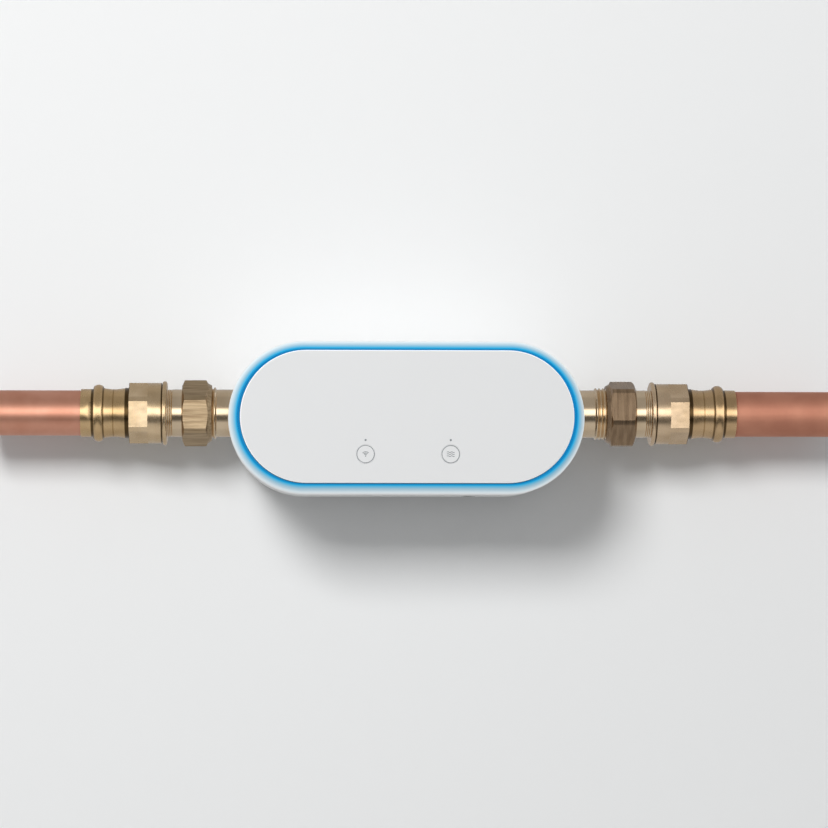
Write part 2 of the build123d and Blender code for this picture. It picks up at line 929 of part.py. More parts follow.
def make_valve_body():
    cone_end = chamber_start - casting_cone_length
    outline = list(reversed(stub_outline(-1))) + [
        (-casting_reach, stub_radius),
        (-casting_reach, casting_radius),
        (cone_end - casting_cone_length, casting_radius),
        (cone_end, chamber_outer_radius),
        (chamber_end, chamber_outer_radius),
        (chamber_end, chamber_radius),
        (chamber_start, chamber_radius),
        (chamber_start, bore_radius),
    ]
    body = turned(Polyline(*tidy(outline), close=True))
    body += boss(disc(ball_x, 0, neck_radius), pipe_depth, flange_back)
    flange = RectangleRounded(flange_width, flange_width, flange_corner_radius)
    body += boss(neck_centre(flange), flange_back, flange_front)
    body += boss(disc(pressure_x, 0, pressure_boss_radius), pipe_depth, pressure_face())
    body += boss(disc(probe_x, 0, probe_boss_radius), pipe_depth, probe_face())
    body += boss(disc(turbine_x, 0, sensor_pad_radius), pipe_depth, pad_face())
    body -= ring(chamber_start, chamber_end, chamber_radius)
    body -= ring(-stub_end(-1), chamber_start, bore_radius)
    body -= boss(disc(ball_x, 0, stem_shoulder_radius + slide_gap), pipe_depth, stem_counterbore_top)
    body -= boss(disc(ball_x, 0, stem_radius + running_gap), pipe_depth, flange_front)
    holes = neck_centre(discs(actuator_places(), actuator_screw_radius + running_gap))
    body -= boss(holes, flange_back, flange_front)
    body -= boss(disc(pressure_x, 0, pressure_port_radius), pipe_depth, pressure_face())
    socket = disc(pressure_x, 0, pressure_thread_radius + running_gap)
    body -= boss(socket, sensor_pocket(), pressure_face())
    return body - boss(disc(probe_x, 0, probe_stem_radius + running_gap), pipe_depth, probe_face())


def actuator_places():
    offset = flange_width - 2 * actuator_screw_inset
    return corners(offset, offset)


def make_valve_end_piece():
    nose_start = ball_x + seat_reach
    outline = [
        (nose_start, bore_radius),
        (nose_start, chamber_radius - running_gap),
        (chamber_end, chamber_radius - running_gap),
        (chamber_end, chamber_outer_radius),
        (chamber_end + end_collar_length, chamber_outer_radius),
        (chamber_end + end_collar_length, casting_radius),
        (casting_reach, casting_radius),
        (casting_reach, stub_radius),
    ] + stub_outline(1)
    return turned(Polyline(*tidy(outline), close=True))


# Ball, seats and stem


def ball_sphere(radius):
    return Pos(ball_x, -pipe_depth, 0) * Sphere(radius)


def slot_back():
    """The depth of the bottom of the slot in the ball's crown."""
    return pipe_depth + ball_radius - slot_depth


def make_ball():
    ball = ball_sphere(ball_radius)
    ball -= ring(ball_x - ball_radius, ball_x + ball_radius, ball_bore_radius)
    slot = neck_centre(Rectangle(slot_length, slot_width))
    return ball - boss(slot, slot_back(), pipe_depth + ball_radius)


def make_seat(toward):
    """One seat ring, hollowed to the ball's curve, on the side that toward points to."""
    outer = chamber_radius - slide_gap
    hollow = ball_radius + seat_gap
    near = seat_reach - seat_length
    lip = math.sqrt(hollow**2 - bore_radius**2)
    middle = (near + lip) / 2
    points = [(lip, bore_radius), (seat_reach, bore_radius), (seat_reach, outer), (near, outer)]
    points.append((near, math.sqrt(hollow**2 - near**2)))
    placed = [(ball_x + toward * x, r) for x, r in points]
    curve = ThreePointArc(
        placed[-1], (ball_x + toward * middle, math.sqrt(hollow**2 - middle**2)), placed[0]
    )
    return turned(Polyline(*placed), curve)


def make_ball_seats():
    return make_seat(-1) + make_seat(1)


def shoulder_back():
    return pipe_depth + chamber_radius - slide_gap


def shoulder_front():
    return shoulder_back() + stem_shoulder_height


def seal_backs():
    """The depths of the two seal grooves in the stem's neck."""
    top = flange_front - stem_seal_width
    return (top - stem_seal_spacing - stem_seal_width / 2, top)


def make_valve_stem():
    tang = neck_centre(Rectangle(tang_length, tang_width))
    stem = boss(tang, shoulder_back() - tang_reach, shoulder_back())
    stem += boss(disc(ball_x, 0, stem_shoulder_radius), shoulder_back(), shoulder_front())
    stem += boss(disc(ball_x, 0, stem_radius), shoulder_front(), output_gear_front)
    stem += boss(disc(ball_x, 0, stem_top_radius), output_gear_front, cover_front)
    for back in seal_backs():
        groove = disc(ball_x, 0, stem_radius) - disc(ball_x, 0, stem_radius - stem_seal_depth)
        stem -= boss(groove, back, back + stem_seal_width)
    return stem


def make_stem_washer():
    washer = disc(ball_x, 0, stem_shoulder_radius) - disc(ball_x, 0, stem_radius + running_gap)
    return boss(washer, shoulder_front() + slide_gap / 2, stem_counterbore_top)


def make_stem_seals():
    seals = Part()
    groove = disc(ball_x, 0, stem_radius) - disc(ball_x, 0, stem_radius - stem_seal_depth)
    for back in seal_backs():
        seals += boss(groove, back + running_gap, back + stem_seal_width - running_gap)
    return seals


# Gear train


def gear_outline(teeth, module, phase):
    """A spur gear with involute flanks, with one tooth centred on the angle phase."""
    pressure = math.radians(pressure_angle)
    pitch = module * teeth / 2
    base = pitch * math.cos(pressure)
    tip = pitch + addendum_share * module
    root = pitch - dedendum_share * module
    start = max(base, root)
    half_tooth = math.pi / (2 * teeth) - backlash / (2 * pitch)
    flank = []
    for step in range(flank_steps + 1):
        radius = start + (tip - start) * step / flank_steps
        roll = math.acos(base / radius)
        half = half_tooth + math.tan(pressure) - pressure - math.tan(roll) + roll
        flank.append((radius, half))
    if root < base:
        flank.insert(0, (root, flank[0][1]))
    points = []
    for tooth in range(teeth):
        centre = math.radians(phase) + 2 * math.pi * tooth / teeth
        points += [(r * math.cos(centre - a), r * math.sin(centre - a)) for r, a in flank]
        points += [(r * math.cos(centre + a), r * math.sin(centre + a)) for r, a in reversed(flank)]
    return make_face(Polyline(*points, close=True))


def heading(x0, z0, x1, z1):
    """The direction from one gear axis to another, in degrees."""
    return math.degrees(math.atan2(z1 - z0, x1 - x0))


def make_output_gear():
    phase = heading(ball_x, 0, idler_x, idler_z)
    gear = gear_outline(output_teeth, big_module, phase) - Circle(stem_radius + running_gap)
    return boss(neck_centre(gear), output_gear_back, output_gear_front)


def make_idler_gear():
    facing = heading(idler_x, idler_z, ball_x, 0) + 180 / pinion_teeth
    pinion = gear_outline(pinion_teeth, big_module, facing)
    wheel = gear_outline(wheel_teeth, small_module, heading(idler_x, idler_z, motor_x, motor_z))
    gear = boss(Pos(idler_x, idler_z) * pinion, output_gear_back, wheel_back)
    gear += boss(Pos(idler_x, idler_z) * wheel, wheel_back, wheel_front)
    bore = disc(idler_x, idler_z, idler_axle_radius + running_gap)
    return gear - boss(bore, output_gear_back, wheel_front)


def make_idler_axle():
    return boss(disc(idler_x, idler_z, idler_axle_radius), flange_front, cover_front)


def make_motor_pinion():
    facing = heading(motor_x, motor_z, idler_x, idler_z) + 180 / motor_teeth
    pinion = gear_outline(motor_teeth, small_module, facing) - Circle(motor_shaft_radius + running_gap)
    return boss(Pos(motor_x, motor_z) * pinion, wheel_back, wheel_front)


# Gearbox case


def case_hull(margin):
    """The outline round the three gear axes, with a margin outside the gears' tips."""
    output = disc(ball_x, 0, output_pitch_radius + big_module + margin)
    idler = disc(idler_x, idler_z, wheel_pitch_radius + small_module + margin)
    motor_reach = motor_radius + motor_collar_wall - gear_side_gap - gearbox_wall
    motor = disc(motor_x, motor_z, motor_reach + margin)
    return make_hull(hull_edges(output, idler, motor))


def hull_edges(*sketches):
    edges = ShapeList()
    for sketch in sketches:
        edges += sketch.edges()
    return edges


def case_screw_places():
    """The ears: the first two round the output gear, the others round the idler."""
    reach = gear_side_gap + gearbox_wall + case_ear_reach
    places = []
    for index, angle in enumerate(case_ear_angles):
        x, z, tip = ball_x, 0, output_pitch_radius + big_module
        if index > 1:
            x, z, tip = idler_x, idler_z, wheel_pitch_radius + small_module
        turn = math.radians(angle)
        places.append((x + (reach + tip) * math.cos(turn), z + (reach + tip) * math.sin(turn)))
    return places


def case_outline():
    return case_hull(gear_side_gap + gearbox_wall) + discs(case_screw_places(), case_ear_radius)


def make_gearbox_base():
    cavity = case_hull(gear_side_gap)
    base = boss(case_outline(), flange_front, cover_back)
    base -= boss(cavity, gearbox_floor_front, cover_back)
    collar_back = flange_front - motor_collar_length
    base += boss(disc(motor_x, motor_z, motor_radius + motor_collar_wall), collar_back, flange_front)
    base -= boss(disc(motor_x, motor_z, motor_radius + running_gap), collar_back, flange_front)
    base -= boss(disc(motor_x, motor_z, motor_shaft_radius + part_gap), flange_front, gearbox_floor_front)
    base -= boss(disc(ball_x, 0, stem_radius + slide_gap), flange_front, gearbox_floor_front)
    base -= boss(disc(idler_x, idler_z, idler_axle_radius + running_gap), flange_front, gearbox_floor_front)
    holes = neck_centre(discs(actuator_places(), actuator_screw_radius + slide_gap))
    base -= boss(holes, flange_front, gearbox_floor_front)
    pilots = discs(case_screw_places(), case_screw_radius + running_gap)
    return base - boss(pilots, gearbox_floor_front, cover_back)


def make_gearbox_cover():
    cover = boss(case_outline(), cover_back, cover_front)
    cover -= boss(disc(ball_x, 0, stem_top_radius + running_gap), cover_back, cover_front)
    cover -= boss(disc(idler_x, idler_z, idler_axle_radius + running_gap), cover_back, cover_front)
    return cover - boss(discs(case_screw_places(), case_screw_radius + slide_gap), cover_back, cover_front)


def make_gearbox_screws():
    places = case_screw_places()
    shanks = boss(discs(places, case_screw_radius), cover_front - case_screw_length, cover_front)
    heads = boss(discs(places, case_screw_head_radius), cover_front, cover_front + case_screw_head_height)
    return shanks + heads


def make_actuator_screws():
    shanks = neck_centre(discs(actuator_places(), actuator_screw_radius))
    screws = boss(shanks, flange_front - actuator_screw_bite, gearbox_floor_front)
    heads = neck_centre(discs(actuator_places(), actuator_screw_head_radius))
    return screws + boss(heads, gearbox_floor_front, gearbox_floor_front + actuator_screw_head_height)


# Motor


def make_motor_can():
    back = flange_front - motor_length
    can = boss(disc(motor_x, motor_z, motor_radius), back, flange_front)
    bore = disc(motor_x, motor_z, motor_shaft_radius + running_gap)
    return can - boss(bore, flange_front - motor_shaft_depth - part_gap, flange_front)


def make_motor_cap():
    front = flange_front - motor_length
    cap = boss(disc(motor_x, motor_z, motor_radius - motor_cap_step), front - motor_cap_length, front)
    tag = Rectangle(motor_terminal_width, motor_terminal_width)
    back = front - motor_cap_length
    return cap + boss(Pos(motor_x, motor_z) * tag, back - motor_terminal_length, back)


def make_motor_shaft():
    return boss(disc(motor_x, motor_z, motor_shaft_radius), flange_front - motor_shaft_depth, wheel_front)


# Flow turbine and sensors


def carrier(start, end):
    """A ring with vanes and a hub that holds one end of the turbine's axle."""
    ring_outer = bore_radius - running_gap
    body = ring(start, end, ring_outer, ring_outer - carrier_ring_wall)
    body += ring(start, end, rotor_hub_radius)
    vane = Pos(0, ring_outer / 2) * Rectangle(carrier_vane_thickness, ring_outer - carrier_ring_wall / 2)
    for index in range(carrier_vanes):
        turn = Rot(0, 0, index * 360 / carrier_vanes)
        body += pipe_section(start) * extrude(turn * vane, end - start)
    return body - ring(start, end, turbine_axle_radius + running_gap)


def make_flow_straightener():
    return carrier(straightener_start, straightener_end)


def make_turbine_bearing():
    return carrier(bearing_start, bearing_end)


def make_turbine_axle():
    return ring(straightener_start, bearing_end, turbine_axle_radius)


def make_turbine_rotor():
    rotor = ring(rotor_start, rotor_end, rotor_hub_radius)
    tip = bore_radius - rotor_tip_gap
    blade = Rot(0, 0, rotor_blade_pitch) * Box(2 * rotor_length, rotor_blade_thickness, 2 * tip)
    for index in range(rotor_blades):
        single = blade & Pos(0, 0, tip / 2) * Box(2 * rotor_length, 2 * tip, tip)
        turned_blade = Pos(turbine_x, -pipe_depth, 0) * Rot(index * 360 / rotor_blades, 0, 0) * single
        rotor += turned_blade & ring(rotor_start, rotor_end, tip)
    return rotor - ring(rotor_start, rotor_end, turbine_axle_radius + running_gap)


def pad_face():
    return pipe_depth + casting_radius + sensor_pad_rise


def flow_sensor_top():
    return pad_face() + flow_sensor_height


def pressure_face():
    return pipe_depth + casting_radius + pressure_boss_rise


def sensor_pocket():
    """The depth of the floor under the pressure sensor's thread."""
    return pipe_depth + casting_radius - sensor_socket_wall


def pressure_top():
    return pressure_face() + pressure_hex_height + pressure_can_height


def probe_face():
    return pipe_depth + casting_radius + probe_boss_rise


def probe_top():
    return probe_face() + probe_head_height


def make_flow_sensor():
    block = RectangleRounded(flow_sensor_width, flow_sensor_width, flow_sensor_height / 2)
    return boss(Pos(turbine_x, 0) * block, pad_face(), flow_sensor_top())


def make_pressure_sensor():
    sensor = boss(disc(pressure_x, 0, pressure_thread_radius), sensor_pocket(), pressure_face())
    can_back = pressure_face() + pressure_hex_height
    sensor += boss(Pos(pressure_x, 0) * plain_hexagon(pressure_hex_width), pressure_face(), can_back)
    return sensor + boss(disc(pressure_x, 0, pressure_can_radius), can_back, pressure_top())


def make_temperature_probe():
    tip_front = pipe_depth + bore_radius
    probe = boss(disc(probe_x, 0, probe_stem_radius), tip_front, probe_face())
    probe += boss(disc(probe_x, 0, probe_tip_radius), tip_front - probe_reach, tip_front)
    return probe + boss(Pos(probe_x, 0) * plain_hexagon(probe_head_width), probe_face(), probe_top())


# Straps


def make_body_straps():
    straps = Part()
    inner = casting_radius + saddle_gap
    outer = inner + strap_thickness
    for x in (strap_inlet_x, strap_outlet_x):
        band = ring(x - strap_width / 2, x + strap_width / 2, outer, inner)
        width = 2 * (casting_radius + strap_ear_length)
        ears = boss(Pos(x, 0) * Rectangle(strap_width, width), pipe_depth, pipe_depth + strap_thickness)
        front = boss(Pos(x, 0) * Rectangle(strap_width, width), pipe_depth, pipe_depth + outer)
        straps += (band & front) + (ears - ring(x - strap_width, x + strap_width, inner))
    holes = discs(strap_screw_places(), strap_screw_radius + slide_gap)
    return straps - boss(holes, pipe_depth, pipe_depth + strap_thickness)


def make_strap_screws():
    seat = pipe_depth + strap_thickness
    screws = boss(discs(strap_screw_places(), strap_screw_radius), pipe_depth - strap_screw_length, seat)
    heads = discs(strap_screw_places(), strap_screw_head_radius)
    return screws + boss(heads, seat, seat + strap_screw_head_height)


# Unions


def nut_start(side):
    """The distance from the middle to the near end of the nut on one side."""
    return stub_end(side) - nut_stub_overlap


def make_nut(side):
    start = nut_start(side)
    end = start + nut_length
    turn = outlet_nut_turn if side > 0 else inlet_nut_turn
    side_angle = math.pi / hexagon_sides
    full_corner = nut_across_flats / 2 / math.cos(side_angle)
    cut_corner = full_corner - nut_corner_flat / 2 * math.tan(side_angle)
    prism = pipe_section(start) * extrude(hexagon(nut_across_flats, cut_corner, turn), nut_length)
    shoulder = cut_corner - nut_shoulder_drop
    turned_outline = Polyline(
        (start, 0),
        (start, shoulder - nut_cone_drop),
        (start + nut_cone_length, shoulder),
        (start + nut_cone_length + nut_shoulder_length, cut_corner),
        (end - nut_far_chamfer_length, cut_corner),
        (end, cut_corner - nut_far_chamfer_drop),
        (end, 0),
        close=True,
    )
    nut = prism & turned(turned_outline)
    cavity_end = clip_start(side) + clip_width + clip_gap
    nut -= ring(start, cavity_end, thread_radius)
    nut -= ring(cavity_end, end, stub_radius + slide_gap)
    return on_side(nut, side)


def tail_start(side):
    return stub_end(side) + union_washer_thickness


def clip_start(side):
    return tail_start(side) + clip_set_off


def make_union_washers():
    washers = Part()
    for side in (-1, 1):
        washers += on_side(ring(stub_end(side), tail_start(side), stub_radius, bore_radius), side)
    return washers


def make_union_tails():
    tails = Part()
    for side in (-1, 1):
        start = tail_start(side)
        clip = clip_start(side)
        end = adapter_start(side) + adapter_socket_depth - running_gap
        groove = adapter_start(side) - tail_grooves * tail_groove_pitch
        outline = [(start, bore_radius), (start, stub_radius)]
        outline += [(clip, stub_radius), (clip, stub_radius - clip_depth)]
        outline += [(clip + clip_width, stub_radius - clip_depth), (clip + clip_width, stub_radius)]
        for index in range(tail_grooves):
            x = groove + index * tail_groove_pitch
            outline += [(x, stub_radius), (x + tail_groove_pitch / 2, stub_radius - tail_groove_depth)]
        outline += [(adapter_start(side), stub_radius), (end, stub_radius), (end, bore_radius)]
        tails += on_side(turned(Polyline(*outline, close=True)), side)
    return tails


def make_nut_clips():
    clips = Part()
    for side in (-1, 1):
        start = clip_start(side)
        inner = stub_radius - clip_depth
        clips += on_side(ring(start, start + clip_width, stub_radius + clip_stand_out, inner), side)
    return clips


# Press adapters and pipe


def adapter_start(side):
    """The near face of the adapter's rolled rim."""
    return tail_start(side) + tail_reach


def adapter_stations(side):
    """Distances along the pipe of the adapter's rim, barrel, hexagon, neck, bead and collar."""
    rim_end = adapter_start(side) + rim_ring_length
    barrel_start = rim_end + adapter_groove_length
    hex_start = barrel_start + adapter_barrel_length
    hex_end = hex_start + adapter_hex_length
    neck_start = hex_end + adapter_neck_gap
    bead_start = neck_start + adapter_neck_length
    bead_end = bead_start + adapter_bead_length
    collar_start = bead_end + adapter_collar_gap
    return {
        "start": adapter_start(side),
        "rim_end": rim_end,
        "barrel_start": barrel_start,
        "hex_start": hex_start,
        "hex_end": hex_end,
        "neck_start": neck_start,
        "bead_start": bead_start,
        "bead_end": bead_end,
        "collar_start": collar_start,
        "end": collar_start + adapter_collar_length,
    }


def make_adapter(side):
    at = adapter_stations(side)
    groove_radius = adapter_barrel_radius - adapter_groove_depth
    core_radius = adapter_hex_width / 2 - adapter_groove_depth
    neck_edge = adapter_neck_radius + adapter_neck_flare
    neck_middle = (at["neck_start"] + at["bead_start"]) / 2
    bead_middle = (at["bead_start"] + at["bead_end"]) / 2
    tail_fit = stub_radius + running_gap
    pipe_fit = pipe_radius + running_gap
    socket_end = at["start"] + adapter_socket_depth
    stop = at["neck_start"]
    rim_middle = at["start"] + rim_ring_length / 2
    lines = [
        Polyline((at["start"], tail_fit), (at["start"], rim_ring_radius - rim_ring_rounding)),
        ThreePointArc(
            (at["start"], rim_ring_radius - rim_ring_rounding),
            (rim_middle, rim_ring_radius),
            (at["rim_end"], rim_ring_radius - rim_ring_rounding),
        ),
        Polyline(
            (at["rim_end"], rim_ring_radius - rim_ring_rounding),
            (at["rim_end"], groove_radius),
            (at["barrel_start"], groove_radius),
            (at["barrel_start"], adapter_barrel_radius),
            (at["hex_start"], adapter_barrel_radius),
            (at["hex_start"], core_radius),
            (at["hex_end"], core_radius),
            (at["hex_end"], neck_edge),
            (at["neck_start"], neck_edge),
        ),
        ThreePointArc(
            (at["neck_start"], neck_edge), (neck_middle, adapter_neck_radius), (at["bead_start"], neck_edge)
        ),
        Polyline((at["bead_start"], neck_edge), (at["bead_start"], bead_shoulder())),
        ThreePointArc(
            (at["bead_start"], bead_shoulder()),
            (bead_middle, adapter_bead_radius),
            (at["bead_end"], bead_shoulder()),
        ),
        Polyline(
            (at["bead_end"], bead_shoulder()),
            (at["bead_end"], pipe_fit + adapter_skin),
            (at["end"], pipe_fit + adapter_skin),
            (at["end"], pipe_fit),
            (at["bead_end"] - adapter_bead_wall, pipe_fit),
            (at["bead_end"] - adapter_bead_wall, seal_cavity_radius()),
            (at["bead_start"] + adapter_bead_wall, seal_cavity_radius()),
            (at["bead_start"] + adapter_bead_wall, pipe_fit),
            (stop, pipe_fit),
            (stop, bore_radius),
            (socket_end, bore_radius),
            (socket_end, tail_fit),
            (at["start"], tail_fit),
        ),
    ]
    body = turned(*lines)
    prism = hexagon(adapter_hex_width, adapter_hex_corner_radius, adapter_hex_turn)
    hex_part = pipe_section(at["hex_start"]) * extrude(prism, adapter_hex_length)
    hex_part -= ring(at["hex_start"], at["hex_end"], bore_radius + adapter_skin)
    hex_part -= ring(at["hex_start"], socket_end, tail_fit)
    return on_side(body + hex_part, side)


def bead_shoulder():
    return (adapter_bead_radius + pipe_radius + adapter_skin) / 2


def seal_cavity_radius():
    return bead_shoulder() - adapter_bead_wall / 2


def make_press_seals():
    seals = Part()
    for side in (-1, 1):
        at = adapter_stations(side)
        middle = (at["bead_start"] + at["bead_end"]) / 2
        start, end = middle - press_seal_radius, middle + press_seal_radius
        seal = ring(start, end, seal_cavity_radius() - running_gap, pipe_radius + running_gap)
        seals += on_side(seal, side)
    return seals


def make_pipe(side):
    at = adapter_stations(side)
    start = at["neck_start"] + running_gap
    end = at["end"] + pipe_visible_length
    pipe = ring(start, end, pipe_radius, pipe_radius - pipe_wall)
    pipe -= ring(at["end"], at["end"] + pipe_mark_width, pipe_radius + overrun, pipe_radius - pipe_mark_depth)
    return on_side(pipe, side)


nodes = {
    "wall_bracket": make_wall_bracket(),
    "bracket_screws": make_bracket_screws(),
    "rear_shell": make_rear_shell(),
    "front_shell": make_front_shell(),
    "shell_gasket": make_shell_gasket(),
    "pipe_grommets": make_pipe_grommets(),
    "shell_screws": make_shell_screws(),
    "lid": make_lid(),
    "light_guide": make_light_guide(),
    "ring_board": make_ring_board(),
    "ring_leds": make_ring_leds(),
    "connection_key_cap": make_key_cap(0),
    "water_key_cap": make_key_cap(1),
    "key_switches": make_key_switches(),
    "connection_switch_plunger": make_switch_plunger(0),
    "water_switch_plunger": make_switch_plunger(1),
    "status_light_pipes": make_status_light_pipes(),
    "main_board": make_main_board(),
    "board_screws": make_board_screws(),
    "board_components": make_board_components(),
    "radio_module": make_radio_module(),
    "inner_leads": make_inner_leads(),
    "power_inlet_jack": make_power_inlet_jack(),
    "valve_body": make_valve_body(),
    "valve_end_piece": make_valve_end_piece(),
    "ball": make_ball(),
    "ball_seats": make_ball_seats(),
    "valve_stem": make_valve_stem(),
    "stem_washer": make_stem_washer(),
    "stem_seals": make_stem_seals(),
    "output_gear": make_output_gear(),
    "idler_gear": make_idler_gear(),
    "idler_axle": make_idler_axle(),
    "motor_pinion": make_motor_pinion(),
    "gearbox_base": make_gearbox_base(),
    "gearbox_cover": make_gearbox_cover(),
    "gearbox_screws": make_gearbox_screws(),
    "actuator_screws": make_actuator_screws(),
    "motor_can": make_motor_can(),
    "motor_cap": make_motor_cap(),
    "motor_shaft": make_motor_shaft(),
    "flow_straightener": make_flow_straightener(),
    "turbine_bearing": make_turbine_bearing(),
    "turbine_axle": make_turbine_axle(),
    "turbine_rotor": make_turbine_rotor(),
    "flow_sensor": make_flow_sensor(),
    "pressure_sensor": make_pressure_sensor(),
    "temperature_probe": make_temperature_probe(),
    "body_straps": make_body_straps(),
    "strap_screws": make_strap_screws(),
    "inlet_nut": make_nut(-1),
    "outlet_nut": make_nut(1),
    "union_washers": make_union_washers(),
    "union_tails": make_union_tails(),
    "nut_clips": make_nut_clips(),
    "inlet_adapter": make_adapter(-1),
    "outlet_adapter": make_adapter(1),
    "press_seals": make_press_seals(),
    "inlet_pipe": make_pipe(-1),
    "outlet_pipe": make_pipe(1),
}

os.makedirs("parts", exist_ok=True)
for name, shape in nodes.items():
    export_step(shape, f"parts/{name}.step")
print("lid's face", lid_front, "pipe axis", pipe_depth, "stub ends", stub_end(-1), stub_end(1))
print("reach of the pipe", adapter_stations(1)["end"] + pipe_visible_length)
print("idler", idler_x, idler_z, "motor", motor_x, motor_z, "turbine", turbine_x)
print("probe", probe_x, "straightener", straightener_start, "jack", jack_centre_depth())
print("collar ends", adapter_stations(-1)["end"], adapter_stations(1)["end"])
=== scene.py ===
import json
import math

import bmesh
import bpy
from mathutils import Matrix, Vector


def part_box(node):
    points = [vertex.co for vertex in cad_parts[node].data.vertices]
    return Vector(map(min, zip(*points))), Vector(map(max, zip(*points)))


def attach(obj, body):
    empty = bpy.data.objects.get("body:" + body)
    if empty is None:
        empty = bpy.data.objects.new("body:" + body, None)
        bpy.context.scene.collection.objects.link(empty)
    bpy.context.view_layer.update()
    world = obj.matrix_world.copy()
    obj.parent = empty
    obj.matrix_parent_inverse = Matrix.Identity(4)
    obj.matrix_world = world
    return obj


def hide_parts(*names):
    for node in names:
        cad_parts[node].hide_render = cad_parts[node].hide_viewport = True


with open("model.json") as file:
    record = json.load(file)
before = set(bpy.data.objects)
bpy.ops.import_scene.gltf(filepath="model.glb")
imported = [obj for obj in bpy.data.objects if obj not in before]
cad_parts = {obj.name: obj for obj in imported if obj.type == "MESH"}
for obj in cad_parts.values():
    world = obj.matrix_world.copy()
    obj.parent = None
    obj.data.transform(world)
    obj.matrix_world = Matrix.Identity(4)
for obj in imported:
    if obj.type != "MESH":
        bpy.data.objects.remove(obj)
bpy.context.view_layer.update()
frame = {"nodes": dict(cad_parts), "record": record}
nodes = frame["nodes"]
mounts = {mount["name"]: mount for mount in frame["record"]["mounts"]}
scene = bpy.context.scene
scene.view_settings.view_transform = "Standard"

# Camera
# A long lens that looks at the wall from slightly left of the housing and a little below the
# pipe. The frame takes in half a metre of the pipe.
sensor_width = 36.0
view_distance = 2.0
view_width = 0.515
view_side = math.radians(-2.2)
view_elevation = math.radians(-3.0)
pipe_y = mounts["inlet_pipe_end"]["pos_m"][1]
view_aim = Vector((0.00605, pipe_y, -0.0002))
view_back = Vector((
    math.sin(view_side) * math.cos(view_elevation),
    -math.cos(view_side) * math.cos(view_elevation),
    math.sin(view_elevation),
))
camera_data = bpy.data.cameras.new("camera")
camera_data.sensor_width = sensor_width
camera_data.lens = sensor_width * view_distance / view_width
camera = bpy.data.objects.new("camera", camera_data)
scene.collection.objects.link(camera)
camera.location = view_aim + view_distance * view_back
camera.rotation_euler = view_back.to_track_quat("Z", "Y").to_euler()
scene.camera = camera

# Wall and floor
# A matt painted wall behind the bracket and a dim floor far below the picture. Both show
# only their front, so that the back of the valve can be looked at through the wall.
wall_size = 6.0
floor_drop = 1.1
wall_colour = (0.90, 0.905, 0.905, 1)
floor_colour = (0.30, 0.30, 0.30, 1)
paint_roughness = 0.9
paint_gloss = 0.2
paint_grain_scale = 900.0
paint_grain_detail = 3.0
paint_grain_height = 0.00005
paint_grain_strength = 0.3


def new_material(name):
    """A node material."""
    material = bpy.data.materials.new(name)
    material.use_nodes = True
    return material


def tree_of(material):
    """A material's node tree and its shader."""
    return material.node_tree, material.node_tree.nodes["Principled BSDF"]


def add_node(tree, kind, sockets=None, **settings):
    """A node with its settings, and its input sockets by name or number."""
    node = tree.nodes.new(kind)
    for key, value in settings.items():
        setattr(node, key, value)
    for key, value in (sockets or {}).items():
        node.inputs[key].default_value = value
    return node


def bump_from(tree, shader, height, distance, strength=1.0):
    """Bump a shader's normal by a height, on top of the bumps that it has."""
    bump = add_node(tree, "ShaderNodeBump", {"Distance": distance, "Strength": strength})
    tree.links.new(height, bump.inputs["Height"])
    for link in shader.inputs["Normal"].links:
        tree.links.new(link.from_socket, bump.inputs["Normal"])
    tree.links.new(bump.outputs["Normal"], shader.inputs["Normal"])


def finished_piece(name, mesh, material):
    """An object made of a bmesh that is done."""
    data = bpy.data.meshes.new(name)
    mesh.to_mesh(data)
    mesh.free()
    data.materials.append(material)
    piece = bpy.data.objects.new(name, data)
    scene.collection.objects.link(piece)
    return piece


for name, colour, turn in (
    ("wall", wall_colour, Matrix.Rotation(math.radians(90), 4, "X")),
    ("floor", floor_colour, Matrix.Translation((0, 0, -floor_drop))),
):
    paint = new_material(f"{name}_paint")
    tree, shader = tree_of(paint)
    shader.inputs["Base Color"].default_value = colour
    shader.inputs["Roughness"].default_value = paint_roughness
    shader.inputs["Specular IOR Level"].default_value = paint_gloss
    place = add_node(tree, "ShaderNodeTexCoord")
    grain = add_node(tree, "ShaderNodeTexNoise", {"Scale": paint_grain_scale, "Detail": paint_grain_detail})
    tree.links.new(place.outputs["Object"], grain.inputs["Vector"])
    bump_from(tree, shader, grain.outputs["Fac"], paint_grain_height, paint_grain_strength)
    see_through = add_node(tree, "ShaderNodeBsdfTransparent")
    facing = add_node(tree, "ShaderNodeNewGeometry")
    either = add_node(tree, "ShaderNodeMixShader")
    tree.links.new(facing.outputs["Backfacing"], either.inputs["Fac"])
    tree.links.new(shader.outputs["BSDF"], either.inputs[1])
    tree.links.new(see_through.outputs["BSDF"], either.inputs[2])
    tree.links.new(either.outputs["Shader"], tree.nodes["Material Output"].inputs["Surface"])
    mesh = bmesh.new()
    bmesh.ops.create_grid(mesh, x_segments=1, y_segments=1, size=wall_size / 2)
    mesh.transform(turn)
    backdrop = finished_piece(name, mesh, paint)
    backdrop.visible_glossy = False

# Studio light
# One large soft lamp high on the left casts the shadow down to the right. A pale room fills
# the rest, and polished metal sees a bright strip in front of it and a dark one under that.
key_direction = Vector((-0.36, -0.87, 0.48)).normalized()
key_distance = 3.0
key_size = 1.02
key_power = 61.0
fill_colour = (0.965, 0.975, 0.98, 1)
fill_strength = 0.42
studio_strength = 3.0
studio_back = 0.16
studio_behind_y = 0.05
studio_ahead_y = -0.15
studio_bands = (
    (0.00, 0.19),
    (0.13, 0.20),
    (0.21, 0.04),
    (0.39, 0.03),
    (0.455, 0.66),
    (0.60, 0.78),
    (0.65, 0.60),
    (0.70, 0.13),
    (1.00, 0.13),
)


